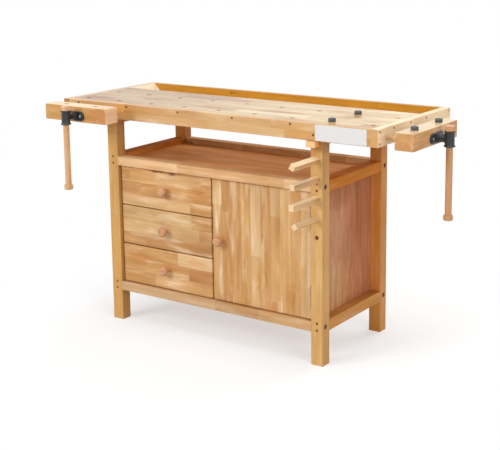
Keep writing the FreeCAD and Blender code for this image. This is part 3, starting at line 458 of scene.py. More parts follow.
# %% Apron, end caps and tray rails
EDGE_BOTTOM = 0.799
apron_patches = marked("XZ", patches=[(-0.5, 0.07, 0.83, 0.05, (1.04, 0.92, 0.66)),
                                      (-0.25, 0.16, 0.82, 0.03, (1.02, 1.06, 1.16)),
                                      (0.28, 0.08, 0.82, 0.03, (1.03, 0.98, 0.8))])
apron_tones = [(204, 156, 102), (208, 163, 110), (213, 171, 120)]
apron_wood = staved_wood("apron_wood", "X", "Z", 0.031, 0.33, apron_tones, seed=11.0, start=EDGE_BOTTOM,
                         contrast=0.9, tint=apron_patches)
left_cap = marked("XZ", boxes=[(-0.8, -0.7, 0.7, 0.9, (0.7, 0.55, 0.4))])
cap_wood = staved_wood("end_cap_wood", "Y", "Z", 0.031, 0.42, [(242, 212, 168), (250, 226, 188)], seed=5.0,
                       start=EDGE_BOTTOM, contrast=0.7, ends=(0.85, (200, 146, 84)), tint=left_cap)
rail_knots = marked("XZ", knots=[(-0.36, 0.848, 0.006), (-0.343, 0.846, 0.004)])
golden_tones = [(180, 124, 34), (192, 136, 42), (202, 150, 54)]
tray_rail_wood = staved_wood("tray_rail_wood", "X", "Z", 0.062, 0.46, golden_tones, seed=8.0,
                             start=EDGE_BOTTOM, contrast=0.8, wisps=0.1, tint=rail_knots)
dressed(apron_wood, "front_apron")
dressed(cap_wood, "end_cap_left", "end_cap_right")
dressed(tray_rail_wood, "tray_back_rail", "tray_inner_rail")

# %% [markdown]
# ## Legs and rails
# The leg frame is sawn from stout staves of the same honey wood, glued two by two, so that each face
# shows at most one seam. The grain follows each piece: up the legs, along the rails. The back legs, the
# bearers and the side rails get a redder, deeper copy of that wood: painted shade, for the shade they
# stand in under the worktop. The front legs carry painted shade right under the worktop, and the right
# legs carry painted shade on their outer faces. The long rails are paler, and their oiled faces mirror
# little.

# %% Legs and bearers
RIGHT_FACE = 0.3685
# Painted shade right under the worktop, on the tops of the front legs.
PAINTED_SHADE_UNDER_TOP = (0.84, 0.72, 0.6)
stout = {"ior": OILED_IOR, "fingers": 0.0}
# Boxes: the right legs a little paler, and painted shade on their outer faces. Patches: painted shade.
leg_tone_and_painted_shade = marked("XZ", boxes=[(0.0, 1.0, 0.0, 1.0, (1.0, 1.04, 1.08)),
                                (RIGHT_FACE, 1.0, 0.0, 1.0, (0.87, 0.78, 0.7))],
                   patches=[(-0.57, 0.05, 0.79, 0.06, PAINTED_SHADE_UNDER_TOP), (0.34, 0.05, 0.78, 0.04, PAINTED_SHADE_UNDER_TOP)])
leg_wood = staved_wood("leg_wood", "Z", "X", 0.024, 1.6, [(202, 150, 84), (210, 161, 96), (216, 170, 108)],
                       seed=2.0, start=-0.592, contrast=0.9, wisps=0.15, tint=leg_tone_and_painted_shade, **stout)
# Painted shade: a redder, deeper copy of the leg wood's tones, for the back legs and the bearers.
painted_shade_tones = [(214, 146, 72), (222, 156, 82)]
# Painted shade on the outer face of the back right leg.
painted_shade_right_side = marked("XZ", boxes=[(RIGHT_FACE, 1.0, 0.0, 1.0, (0.8, 0.75, 0.72))])
back_leg_shaded_wood = staved_wood("back_leg_shaded_wood", "Z", "X", 0.024, 1.6, painted_shade_tones, seed=6.0, start=-0.592,
                            contrast=0.7, wisps=0.1, tint=painted_shade_right_side, **stout)
bearer_shaded_wood = staved_wood("bearer_shaded_wood", "Y", "Z", 0.2, 1.2, painted_shade_tones, seed=15.0, contrast=0.8, wisps=0.1,
                          ends=(0.8, (240, 202, 152)), **stout)
dressed(leg_wood, "leg_front_left", "leg_front_right")
dressed(back_leg_shaded_wood, "leg_back_left", "leg_back_right")
dressed(bearer_shaded_wood, "top_bearers")

# %% Rails
dull = {"gloss": 0.6, "ior": DULL_IOR}
# Painted shade: the side rails' tones are deep red-orange. Below 0.25 m the box takes most of it off again.
less_painted_shade_below = marked("XZ", boxes=[(-1.0, 1.0, 0.0, 0.25, (1.0, 1.36, 2.3))])
side_rail_shaded_wood = staved_wood("side_rail_shaded_wood", "Y", "Z", 0.02, 0.9, [(194, 117, 46), (202, 127, 56)],
                             seed=14.0, contrast=0.8, wisps=0.1, tint=less_painted_shade_below, **dull)
lower_rail = marked("XZ", boxes=[(-1.0, 0.1, 0.1, 0.2, (0.84, 0.86, 0.9)),
                                 (0.1, 1.0, 0.1, 0.2, (0.95, 1.0, 1.04))])
rail_tones = [(212, 164, 114), (222, 178, 130), (228, 190, 146)]
long_rail_wood = staved_wood("long_rail_wood", "X", "Z", 0.05, 0.47, rail_tones, seed=21.0, start=0.112,
                             tint=lower_rail, **dull)
dressed(side_rail_shaded_wood, "side_rails_upper", "side_rails_lower")
dressed(long_rail_wood, "front_rail_upper", "front_rail_lower", "back_rails")

# %% [markdown]
# ## Fronts
# The drawer fronts are glued from staves lying flat, and the door from staves standing up. Here the
# figure shows most: pale wisps and flames of sapwood, a few lengths of reddish heart, and three small
# knots in a rusty streak along the upper edge of the top drawer. A pale strip along the door's right
# edge is a painted highlight, where light catches its rounded edge.

# %% Drawer fronts
front_tones = [(192, 136, 80), (202, 150, 92), (208, 160, 104), (214, 171, 118), (222, 184, 136)]
front_look = {"shares": (0, 0.15, 0.5, 0.85, 1), "contrast": 1.3, "wisps": 0.5}
FLAME, HEART, RUST = (1.1, 1.18, 1.3), (0.92, 0.8, 0.64), (0.78, 0.56, 0.36)
drawer_marks = marked(
    "XZ",
    boxes=[(-0.600, -0.110, 0.31, 0.46, (0.93, 0.94, 0.93)),
           (-0.170, -0.116, 0.3605, 0.411, (0.9, 0.78, 0.66)),
           (-0.530, -0.375, 0.565, 0.62, (0.97, 0.88, 0.74)),
           (-0.530, -0.390, 0.36, 0.411, (1.06, 1.08, 1.1))],
    patches=[(-0.33, 0.11, 0.612, 0.012, RUST), (-0.17, 0.07, 0.55, 0.05, HEART),
             (-0.44, 0.1, 0.415, 0.022, FLAME), (-0.36, 0.07, 0.38, 0.02, FLAME),
             (-0.21, 0.08, 0.42, 0.02, FLAME), (-0.30, 0.09, 0.20, 0.04, FLAME),
             (-0.46, 0.08, 0.26, 0.03, HEART), (-0.18, 0.06, 0.28, 0.02, HEART)],
    knots=[(-0.372, 0.6115, 0.011), (-0.345, 0.613, 0.008), (-0.292, 0.608, 0.01)])
drawer_wood = staved_wood("drawer_front_staves", "X", "Z", 0.0501, 0.34, front_tones, seed=4.0, start=0.157,
                          seam=0.12, tint=drawer_marks, **front_look)
dressed(drawer_wood, "drawer_1_front", "drawer_2_front", "drawer_3_front")

# %% Door
PALE_STAVE = (1.05, 1.08, 1.12)
door_marks_and_highlight = marked(
    "XZ",
    boxes=[(-0.12, -0.0666, 0.1, 0.7, (1.05, 1.13, 1.2)), (0.1454, 0.1878, 0.2, 0.508, (0.93, 0.82, 0.66)),
           (0.0182, 0.0606, 0.1, 0.7, PALE_STAVE), (0.1878, 0.2302, 0.1, 0.7, PALE_STAVE),
           # The last box is a painted highlight: light caught on the door's rounded right edge.
           (0.299, 0.316, 0.27, 0.47, (1.12, 1.24, 1.4))],
    patches=[(0.035, 0.016, 0.47, 0.12, FLAME), (0.045, 0.02, 0.25, 0.1, FLAME),
             (0.11, 0.03, 0.26, 0.08, HEART), (0.12, 0.012, 0.46, 0.06, FLAME),
             (0.27, 0.03, 0.40, 0.1, FLAME), (-0.08, 0.03, 0.4, 0.25, FLAME),
             (0.23, 0.03, 0.22, 0.06, HEART), (0.16, 0.02, 0.17, 0.04, RUST)])
door_wood = staved_wood("door_staves", "Z", "X", 0.0424, 1.3, front_tones, seed=9.0, start=-0.109,
                        seam=0.18, tint=door_marks_and_highlight, **front_look)
dressed(door_wood, "door_panel")

# %% [markdown]
# ## Plywood panels
# The shelf, the cabinet's sides and the tray's floor are thin plywood with one wide peeled face, so
# they have no staves: one single stave wider than the panel, with a calm, reddish figure. The sides are
# tanner low down at the front. The sloped ends of the tray are solid wood, the palest on the bench.

# %% Panels
panel = {"stave": 3.0, "length": 4.0, "start": -1.5, "seam": 0.0, "fingers": 0.0, "gloss": 0.6,
         "ior": OILED_IOR, "wisps": 0.12}
shelf_wood = staved_wood("shelf_plywood", "X", "Y", tones=[(222, 156, 94), (230, 166, 104)], seed=1.0,
                         ring=0.009, contrast=1.3, **panel)
side_patches = marked("YZ", patches=[(-0.02, 0.17, 0.34, 0.34, (1.05, 1.34, 1.5)),
                                     (0.03, 0.12, 0.22, 0.16, (1.16, 1.26, 1.2)),
                                     (0.05, 0.14, 0.58, 0.08, (0.84, 0.8, 0.72))])
side_wood = staved_wood("side_plywood", "Z", "Y", tones=[(174, 106, 70), (184, 118, 82)], seed=6.0,
                        ring=0.012, contrast=1.3, tint=side_patches, **panel)
tray_wood = staved_wood("tray_plywood", "X", "Y", tones=[(230, 200, 158), (236, 208, 168)], seed=7.0,
                        ring=0.009, contrast=0.7, **panel)
ramp_wood = staved_wood("ramp_wood", "Y", "X", tones=[(238, 216, 186), (244, 224, 196)], seed=7.0,
                        ring=0.006, contrast=0.6, **panel)
dressed(shelf_wood, "shelf_panel", "cabinet_floor", "back_panel")
dressed(side_wood, "side_panels", "cabinet_divider")
dressed(tray_wood, "tray_floor")
dressed(ramp_wood, "tray_ramps")

# %% [markdown]
# ## Vise jaws and turned wood
# The jaws are glued from thick layers, tan and reddish. Knobs and handles are beech, which is pinker
# than the rest, and the front vise's handle has a paler copy of it: painted light. The rods, the guide
# blocks, the runners and the drawer boxes are cut from a paler plank.
# The square pegs and the tops of the jaws carry painted light: their upward faces are painted pale.

# %% Jaws
# Painted light from above: the upward faces of the jaws are mixed towards a pale cream.
PAINTED_TOP_LIGHT = (0.6, (248, 222, 180))
jaw_tones = [(190, 126, 68), (200, 144, 80), (210, 162, 100)]
jaw_patch = marked("XZ", patches=[(-0.5, 0.07, 0.83, 0.05, (0.88, 0.74, 0.7))])
front_jaw_wood = staved_wood("front_jaw_wood", "X", "Z", 0.07, 0.15, jaw_tones, seed=3.0, start=0.795,
                             ends=(0.8, (244, 214, 174)), tops=PAINTED_TOP_LIGHT, tint=jaw_patch)
end_jaw_wood = staved_wood("end_jaw_wood", "Y", "Z", 0.029, 0.4, jaw_tones, seed=5.0, start=0.801,
                           tops=PAINTED_TOP_LIGHT)
dressed(front_jaw_wood, "front_vise_jaw")
dressed(end_jaw_wood, "end_vise_jaw")


# %% Handles, knobs, rods, pegs and hidden wood
def plain_wood(name, along, across, tones, seed, **look):
    """Wood in one piece: a stave wider and longer than anything cut from it."""
    return staved_wood(name, along, across, 0.2, 1.2, tones, seed=seed, fingers=0.0, wisps=0.1, **look)


pale_tones = [(208, 164, 112), (220, 180, 132)]
boxes = [f"drawer_{number}_box" for number in (1, 2, 3)]
knobs = [f"drawer_{number}_knob" for number in (1, 2, 3)]
pegs = [f"peg_{number}" for number in (1, 2, 3, 4)]
dressed(plain_wood("pale_wood_along_x", "X", "Z", pale_tones, 2.0), "end_vise_rods", "vise_guides")
dressed(plain_wood("pale_wood_along_y", "Y", "Z", pale_tones, 3.0), "front_vise_rods", "drawer_runners",
        *boxes)
dressed(plain_wood("beech_along_y", "Y", "Z", [(190, 134, 94), (204, 150, 110)], 3.0), *knobs, "door_knob")
dressed(plain_wood("beech_along_z", "Z", "X", [(196, 144, 100), (206, 156, 112)], 4.0), "end_vise_handle")
# Painted light: the front vise's handle gets a paler copy of the beech, for the key lamp on it.
dressed(plain_wood("beech_along_z_painted_light", "Z", "X", [(220, 174, 130), (228, 184, 140)], 5.0),
        "front_vise_handle")
# The pegs' upward faces are painted pale: painted light from above.
dressed(plain_wood("peg_wood", "Y", "Z", [(204, 156, 102), (216, 172, 120)], 12.0, contrast=1.4,
                   ends=(0.7, (244, 214, 172)), tops=(0.85, (252, 228, 188))), *pegs)

# %% [markdown]
# ## Iron, steel and plastic
# The vise castings are painted black over a rough sand-cast skin. The dogs are a grey-blue plastic, the
# screws are browned steel and the hinges dark bronze.


# %% Metals and plastic
def speckled(name, dark, light, rough, metal, grain, depth):
    """A surface with a fine uneven skin: noise mixes two colours and lifts the surface by depth."""
    material, tree, shader = new_material(name)
    place = add(tree, "TexCoord").outputs["Object"]
    noise = add(tree, "TexNoise", [("Vector", place), ("Scale", grain), ("Detail", 6.0)])
    skin = Number(noise.outputs["Fac"])
    wire(shader, "Base Color", blended(tree, skin.spread(0.35, 0.65), srgb(*dark), srgb(*light)))
    wire(shader, "Roughness", skin.spread(0.3, 0.7, rough - 0.07, rough + 0.07))
    bump = add(tree, "Bump", [("Strength", 0.35), ("Distance", depth), ("Height", skin)])
    wire(shader, "Normal", bump.outputs[0])
    shader.inputs["Metallic"].default_value = metal
    return material


CAST_SKIN, MOULDED_SKIN, STEEL_SKIN = (420.0, 0.0006), (900.0, 0.0002), (700.0, 0.0002)
black_iron = speckled("black_casting", (26, 26, 28), (44, 44, 47), 0.36, 0.0, *CAST_SKIN)
dog_plastic = speckled("dog_plastic", (58, 62, 68), (78, 83, 90), 0.45, 0.0, *MOULDED_SKIN)
dark_steel = speckled("dark_steel", (60, 48, 38), (84, 70, 56), 0.45, 0.7, *STEEL_SKIN)
bronze = speckled("hinge_bronze", (52, 34, 18), (78, 56, 32), 0.45, 0.0, *STEEL_SKIN)
bright_steel = speckled("bright_steel", (190, 190, 184), (214, 214, 208), 0.28, 1.0, *STEEL_SKIN)
dressed(dark_steel, "frame_bolts", "frame_screws", "worktop_screws")
dressed(bronze, "hinge_leg_leaves", "hinge_door_leaves")
dressed(bright_steel, "vise_nuts")

# %% [markdown]
# ## Surfaces worked out from formulas
# The plain solids leave out what a founder or a screw cutter adds: rounded rims, threads, sockets. Such
# shapes are all surfaces over two numbers, a row and a column. One helper turns a grid of points into a
# closed mesh. It joins the seam and any pole, where a whole row meets in one point, and turns all the
# faces outwards.

# %% From a grid of points to a closed mesh
SAME_POINT = 1e-6


def grid_shell(points, ring=False):
    """(points, faces) of a grid whose columns wrap round. With ring, its rows wrap as well.

    points has the shape (rows, columns, 3). Face (i, j) joins rows i and i + 1 and columns j and j + 1.
    """
    rows, columns = points.shape[:2]
    i, j = np.meshgrid(np.arange(rows if ring else rows - 1), np.arange(columns), indexing="ij")
    k, m = (i + 1) % rows, (j + 1) % columns
    faces = np.stack([i * columns + j, i * columns + m, k * columns + m, k * columns + j], axis=-1)
    return points.reshape(-1, 3), faces.reshape(-1, 4)


def closed_piece(name, shells, material, body, replaced=(), sharp=40):
    """One object from several closed shells, riding on a body and standing for the replaced nodes."""
    counts = np.cumsum([0] + [len(points) for points, _ in shells])
    points = np.concatenate([points for points, _ in shells])
    faces = np.concatenate([faces + first for (_, faces), first in zip(shells, counts)])
    mesh = bpy.data.meshes.new(name)
    mesh.from_pydata(points.tolist(), [], faces.tolist())
    working = bmesh.new()
    working.from_mesh(mesh)
    bmesh.ops.remove_doubles(working, verts=working.verts, dist=SAME_POINT)
    bmesh.ops.recalc_face_normals(working, faces=working.faces)
    working.to_mesh(mesh)
    working.free()
    mesh.polygons.foreach_set("use_smooth", np.ones(len(mesh.polygons), dtype=bool))
    mesh.set_sharp_from_angle(angle=math.radians(sharp))
    mesh.materials.append(material)
    piece = bpy.data.objects.new(name, mesh)
    bpy.context.scene.collection.objects.link(piece)
    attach(piece, body)
    if replaced:
        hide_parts(*replaced)
    print(name, len(mesh.polygons), "faces")


print(len(grid_shell(np.zeros((3, 8, 3)))[1]), "faces join three rows of eight points")

# %% [markdown]
# One kind of grid makes nearly all of the shapes: a profile turned round an axis. Two extras widen its
# use. An outline bends the circle into a hexagon or a cross, for sockets. A spread moves the two halves
# of the circle apart, which makes slots and round-cornered plates. Lengths are in millimetres, and a
# frame of three directions puts the shape in its place.

# %% Turned shapes
MM = 0.001
CROSS_WIDTH = 0.3


def turned(profile, around=48, outline=None, apart=(0, 0)):
    """Rows are (radius, height) or (radius, height, share), all in mm.

    Point (i, j) lies at the angle t = 2 pi (j + 1/2) / around. Its reach is radius_i times
    1 + share_i (outline(t) - 1), and share_i apart moves it away from the axis along its own signs.
    """
    radius, height, share = np.array([(*row, 1.0)[:3] for row in profile]).T[:, :, None]
    angle = 2 * np.pi * (np.arange(around) + 0.5) / around
    shape = outline(angle) if outline else np.ones(around)
    reach = radius * (1 + share * (shape - 1))
    x = reach * np.cos(angle) + share * apart[0] * np.sign(np.cos(angle))
    y = reach * np.sin(angle) + share * apart[1] * np.sign(np.sin(angle))
    return np.stack([x, y, height + np.zeros(around)], axis=-1)


def placed(points, origin, first, second, third):
    """origin + x first + y second + z third, with x, y and z in mm."""
    return np.array(origin, float) + MM * points @ np.array([first, second, third], float)


def hexagon(angle):
    """Distance from the middle of a hexagon to its edge, 1 at the corners."""
    return math.cos(math.pi / 6) / np.cos(np.mod(angle, math.pi / 3) - math.pi / 6)


def cross(angle):
    """Distance from the middle of a plus sign to its edge, 1 at the ends of its arms."""
    c, s = np.abs(np.cos(angle)), np.abs(np.sin(angle))
    return np.maximum(np.minimum(1 / c, CROSS_WIDTH / s), np.minimum(1 / s, CROSS_WIDTH / c))


print("hexagon side", round(float(hexagon(np.array([math.pi / 6]))[0]), 3), "of its corner")

# %% [markdown]
# ## The vises
# A bench vise is a steel screw that turns in a nut behind the bench's edge. Its outer end carries a
# cast T: an upright tube for the wooden bar, and a short neck that presses on a flange screwed to the
# jaw. Castings have no sharp corners. The sand mould needs rounded rims, and the neck grows out of the
# tube with a fillet. Where things are is read from the measured pieces, so the cast pieces fit them.

# %% Where each vise is
UP = np.array([0.0, 0.0, 1.0])


def box_of(name):
    """(low, high) corners of a measured piece as arrays."""
    return (np.array(corner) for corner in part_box(name))


class Vise:
    """A vise's own frame: origin where the screw leaves the jaw, out away from the bench, side across."""

    def __init__(self, name, out):
        self.name = name
        self.out = np.array(out, float)
        self.side = np.cross(UP, self.out)
        low, high = box_of(name + "_vise_flange")
        self.flange_height = float((high - low) @ np.abs(self.out)) / MM
        self.origin = (low + high) / 2 - self.out * self.flange_height * MM / 2
        low, high = box_of(name + "_vise_handle")
        self.hub_out = float(((low + high) / 2 - self.origin) @ self.out) / MM
        low, high = box_of(name + "_vise_screw")
        self.tail = min(float((corner - self.origin) @ self.out) / MM for corner in (low, high))
        self.half_hub = float((high - low)[2]) / MM / 2
        low, high = box_of(name + "_vise_jaw")
        self.jaw_inside = -float((high - low) @ np.abs(self.out)) / MM

    def along_screw(self, points, ring=False):
        """A shell of a turned shape whose axis is the screw's."""
        return grid_shell(placed(points, self.origin, self.side, UP, self.out), ring)

    def upright(self, points, ring=False):
        """A shell of a turned shape whose axis is the bar's."""
        hub = self.origin + self.out * self.hub_out * MM
        return grid_shell(placed(points, hub, self.side, self.out, UP), ring)


vises = [Vise("front", (0, -1, 0)), Vise("end", (1, 0, 0))]
for vise in vises:
    print(vise.name, "hub", round(vise.hub_out, 1), "mm out, tail", round(vise.tail, 1), "mm in")

# %% [markdown]
# The tube is a closed ring: the profile runs up the outside, over the rims, down the bore and back to
# its start. The neck is the one shape here that isn't simply turned. Where it meets the tube, each of
# its rows follows the tube's round side. So a row there has a depth that changes with how far the point
# lies to the side.

# %% Tube and neck
HANDLE_RADIUS, BODY_RADIUS, RIM_RADIUS, NECK_RADIUS = 11.5, 16.0, 19.0, 13.5
CLEARANCE = 0.3
TUBE_BORE = HANDLE_RADIUS + CLEARANCE
WALL_MIDDLE = (TUBE_BORE + BODY_RADIUS) / 2


def tube_points(half):
    """The tube's lower half, from the bore round the rim to the side, and the same mirrored above."""
    lower = [(TUBE_BORE, 0.7), (TUBE_BORE + 0.7, 0), (RIM_RADIUS - 0.9, 0), (RIM_RADIUS - 0.25, 0.3),
             (RIM_RADIUS, 0.9), (RIM_RADIUS, 3.0), (RIM_RADIUS - 0.5, 3.9), (BODY_RADIUS + 0.9, 5.0),
             (BODY_RADIUS + 0.2, 6.2), (BODY_RADIUS, 7.6)]
    rows = [(radius, rise - half) for radius, rise in lower]
    rows += [(radius, half - rise) for radius, rise in reversed(lower)]
    return turned(rows, around=72)


def neck_points(hub_out, end):
    """Row i of the neck has a radius and a depth.

    Near the tube the depth is hub_out - sqrt(r_i^2 - side^2), which is a tube of radius r_i about the
    bar's axis. r_i begins in the middle of the tube's wall. Further on the depth is plain.
    """
    on_tube = [(0, WALL_MIDDLE), (0.5 * NECK_RADIUS, WALL_MIDDLE), (NECK_RADIUS, WALL_MIDDLE),
               (NECK_RADIUS + 2.2, BODY_RADIUS + 0.2), (NECK_RADIUS + 1.1, BODY_RADIUS + 1.0),
               (NECK_RADIUS + 0.4, BODY_RADIUS + 2.2), (NECK_RADIUS, BODY_RADIUS + 4.0)]
    plain = [(NECK_RADIUS, end + 9), (NECK_RADIUS, end + 4), (NECK_RADIUS + 1.2, end + 3.2),
             (NECK_RADIUS + 1.6, end + 2), (NECK_RADIUS + 1.2, end + 0.6), (NECK_RADIUS, end), (0, end)]
    points = turned([(radius, 0) for radius, _ in on_tube] + plain, around=64)
    tube = np.array([tube for _, tube in on_tube])[:, None]
    joined = points[:len(on_tube)]
    joined[..., 2] = hub_out - np.sqrt(tube ** 2 - joined[..., 0] ** 2)
    return points


print("neck", 2 * NECK_RADIUS, "mm thick")

# %% [markdown]
# The screw itself hides inside, but it shows as soon as the vise is opened or the bench is looked at
# from below. Its thread has flat crests, as vise screws do. The radius of a point is a function of one
# number: how far along it lies in pitches, less how far round it lies in turns. That makes the helix.

# %% Thread and collar
THREAD_PITCH, CREST_RADIUS, THREAD_DEPTH = 5.0, 8.9, 1.4
FLANK_SLOPE, CREST_PART = 2.6, 0.8
ROWS_PER_TURN = 8
COLLAR_RADIUS, COLLAR_WIDTH, COLLAR_ROUND = 16.0, 8.0, 0.8


def thread_points(top, start, tail, around=36):
    """r = crest - depth x cut, with cut a flat-topped wave of (height / pitch - angle / 2 pi).

    Above start the screw is plain. The first and last rows close to points on the axis.
    """
    rows = np.arange(start, tail + 2, -THREAD_PITCH / ROWS_PER_TURN)
    height = np.concatenate([[top, top], rows, [tail, tail]])[:, None]
    angle = 2 * np.pi * np.arange(around) / around
    wave = np.abs(2 * np.mod(height / THREAD_PITCH - angle / (2 * np.pi), 1) - 1)
    cut = np.clip(FLANK_SLOPE * wave - CREST_PART, 0, 1) * np.clip((start - height) / THREAD_PITCH, 0, 1)
    radius = CREST_RADIUS - THREAD_DEPTH * cut
    radius[[0, -1]] = 0
    radius[-2] = CREST_RADIUS - THREAD_DEPTH
    return np.stack([radius * np.cos(angle), radius * np.sin(angle), height + 0 * angle], axis=-1)


for vise in vises:
    neck_end = vise.flange_height + CLEARANCE
    inner = vise.jaw_inside + CLEARANCE
    outer = inner + COLLAR_WIDTH
    hole, rim = CREST_RADIUS - 0.5, COLLAR_RADIUS - COLLAR_ROUND
    collar = turned([(hole, inner), (rim, inner), (COLLAR_RADIUS, inner + COLLAR_ROUND),
                     (COLLAR_RADIUS, outer - COLLAR_ROUND), (rim, outer), (hole, outer)])
    shells = [vise.upright(tube_points(vise.half_hub - 0.05), ring=True),
              vise.along_screw(neck_points(vise.hub_out, neck_end)),
              vise.along_screw(thread_points(neck_end + 1, vise.jaw_inside, vise.tail)),
              vise.along_screw(collar, ring=True)]
    closed_piece(vise.name + "_cast_screw", shells, black_iron, vise.name + "_screw",
                 replaced=[vise.name + "_vise_screw"])

# %% [markdown]
# The flange is a slot-shaped plate with a round boss, and a raised ring round each of its two screws.
# The screws are bright, with a hexagon socket. A plate with a bore is the ring kind of grid again. Only
# its outer rows are spread apart, and the bore stays round.

# %% Flanges and their screws
LOBE_RADIUS, BOSS_RADIUS, FLANGE_BORE = 17.0, 16.6, 9.3
PLATE = 6.0
flange_low, flange_high = box_of("front_vise_flange")
lobe_apart = float((flange_high - flange_low)[0]) / MM / 2 - LOBE_RADIUS
plate_profile = [(FLANGE_BORE, 0, 0), (LOBE_RADIUS - 0.3, 0), (LOBE_RADIUS, 0.5),
                 (LOBE_RADIUS, PLATE - 1.6), (LOBE_RADIUS - 0.5, PLATE - 0.5), (LOBE_RADIUS - 1.6, PLATE),
                 (FLANGE_BORE, PLATE, 0)]
ring_profile = [(5.2, PLATE - 1), (7.6, PLATE - 1), (7.6, PLATE + 0.4), (7.2, PLATE + 0.9),
                (5.6, PLATE + 0.9), (5.2, PLATE + 0.4)]
head_profile = [(0, 1, 0), (4.9, 1, 0), (4.9, PLATE + 1.6, 0), (4.2, PLATE + 2.3, 0), (3.0, PLATE + 2.5, 0),
                (2.7, PLATE + 2.4), (2.5, PLATE + 0.9), (0, PLATE + 0.9)]
for vise in vises:
    top = vise.flange_height
    boss_profile = [(FLANGE_BORE, PLATE - 1), (BOSS_RADIUS, PLATE - 1), (BOSS_RADIUS, top - 1.2),
                    (BOSS_RADIUS - 0.4, top - 0.4), (BOSS_RADIUS - 1.2, top), (FLANGE_BORE, top)]
    shells = [vise.along_screw(turned(plate_profile, 96, apart=(lobe_apart, 0)), ring=True),
              vise.along_screw(turned(boss_profile, 64), ring=True)]
    heads = []
    for side in (-1, 1):
        lobe = np.array([side * lobe_apart, 0, 0])
        shells.append(vise.along_screw(turned(ring_profile, 32) + lobe, ring=True))
        heads.append(vise.along_screw(turned(head_profile, 36, hexagon) + lobe))
    jaw = vise.name + "_jaw"
    closed_piece(vise.name + "_cast_flange", shells, black_iron, jaw,
                 replaced=[vise.name + "_vise_flange"])
    closed_piece(vise.name + "_flange_screws", heads, bright_steel, jaw)

# %% [markdown]
# ## The dogs
# A dog is a plastic peg that stands in a hole and stops the work from sliding. Its head has one flat,
# which faces the work, softened edges and a shallow dish in its top. The flat is made by holding one
# coordinate of every point below a limit, so the round side turns into a plane there.

# %% Dogs
HEAD_RADIUS, SHANK_RADIUS, HEAD_HEIGHT = 13.0, 9.25, 12.0
FLAT_AT = 10.5
for name, way in {"dog_top_front": 1, "dog_top_back": 1, "dog_jaw_front": -1, "dog_jaw_back": -1}.items():
    low, high = box_of(name)
    axis_x = (low[0] if way > 0 else high[0]) + way * HEAD_RADIUS * MM
    foot = float(low[2] - high[2]) / MM + HEAD_HEIGHT
    shank = [(0, foot), (SHANK_RADIUS - 1.5, foot), (SHANK_RADIUS, foot + 1.5), (SHANK_RADIUS, 0.05)]
    head = [(HEAD_RADIUS - 0.5, 0.05), (HEAD_RADIUS - 0.05, 0.6), (HEAD_RADIUS - 0.05, HEAD_HEIGHT - 1.6),
            (HEAD_RADIUS - 0.5, HEAD_HEIGHT - 0.6), (HEAD_RADIUS - 1.5, HEAD_HEIGHT - 0.05)]
    dish = [(HEAD_RADIUS - 3.4, HEAD_HEIGHT - 0.05), (HEAD_RADIUS - 4.2, HEAD_HEIGHT - 0.9),
            (0, HEAD_HEIGHT - 1.1)]
    points = turned(shank + head + dish, 64)
    points[..., 0] = np.minimum(points[..., 0], FLAT_AT)
    place = (axis_x, (low[1] + high[1]) / 2, high[2] - HEAD_HEIGHT * MM)
    points = placed(points, place, (way, 0, 0), (0, 1, 0), UP)
    closed_piece(name + "_moulded", [grid_shell(points)], dog_plastic, name, replaced=[name])

# %% [markdown]
# ## Screw heads
# The measured bolts and screws end in plain discs at the bottom of their holes. Each gets a thin cap
# with a socket: a hexagon for the big cross bolts, a cross for the screws. To find the heads, every
# measured solid is picked out of its node by spreading one number over all points that edges join. The
# longest side of its box is its axis, and the wider end is its head.

# %% Finding the heads
END_FACE = 1e-4


def loose_parts(name):
    """The points of every separate solid in a measured piece.

    Each point starts with its own number. Each edge passes the smaller number to its other end, over and
    over, until all the points of a solid share one.
    """
    mesh = nodes[name].data
    flat = np.empty(3 * len(mesh.vertices), np.float32)
    mesh.vertices.foreach_get("co", flat)
    edges = np.empty(2 * len(mesh.edges), np.int32)
    mesh.edges.foreach_get("vertices", edges)
    points, same = np.unique(np.round(flat.reshape(-1, 3), 5), axis=0, return_inverse=True)
    first, second = same.ravel()[edges.reshape(-1, 2)].T
    label = np.arange(len(points))
    while True:
        before = label.copy()
        np.minimum.at(label, first, before[second])
        np.minimum.at(label, second, before[first])
        label = label[label]
        if np.array_equal(label, before):
            return [points[label == number] for number in np.unique(label)]


def heads_of(name, least_radius):
    """(middle of the head's face, direction out of it, radius) of every headed solid."""
    found = []
    for part in loose_parts(name):
        low, high = part.min(axis=0), part.max(axis=0)
        axis = int(np.argmax(high - low))
        for end, way in ((low, -1), (high, 1)):
            face = part[np.abs(part[:, axis] - end[axis]) < END_FACE]
            radius = float(np.linalg.norm(face - face.mean(axis=0), axis=1).max()) / MM
            if radius > least_radius:
                out = np.zeros(3)
                out[axis] = way
                spot = (low + high) / 2
                spot[axis] = end[axis]
                found.append((spot, out, radius))
    return found


print(len(loose_parts("frame_bolts")), "separate solids in the cross bolts")

# %% [markdown]
# The caps are turned shapes with a socket: the rows of the socket's wall take the hexagon or the cross,
# and the outer rows stay round.


# %% Caps with sockets
def socket_cap(spot, out, radius, thickness, socket, outline):
    """A disc with rounded rim whose middle sinks into a socket almost as deep as the disc."""
    rim = [(0, -0.05, 0), (radius - 0.1, -0.05, 0), (radius - 0.1, thickness * 0.6, 0),
           (radius - 0.4, thickness * 0.9, 0), (radius - 0.9, thickness, 0)]
    inside = [(socket + 0.25, thickness), (socket, thickness - 0.15), (socket * 0.9, 0.1), (0, 0.1)]
    side = np.roll(np.abs(out), 1)
    return placed(turned(rim + inside, 48, outline), spot, side, np.cross(out, side), out)


for name, least, thickness, socket, outline in (("frame_bolts", 7.0, 1.5, 4.4, hexagon),
                                                ("frame_screws", 4.0, 0.8, 2.6, cross),
                                                ("worktop_screws", 4.0, 0.7, 2.5, cross)):
    heads = heads_of(name, least)
    shells = [grid_shell(socket_cap(*head, thickness, socket, outline)) for head in heads]
    closed_piece(name + "_sockets", shells, dark_steel, "bench")
    print(len(heads), "heads on", name)

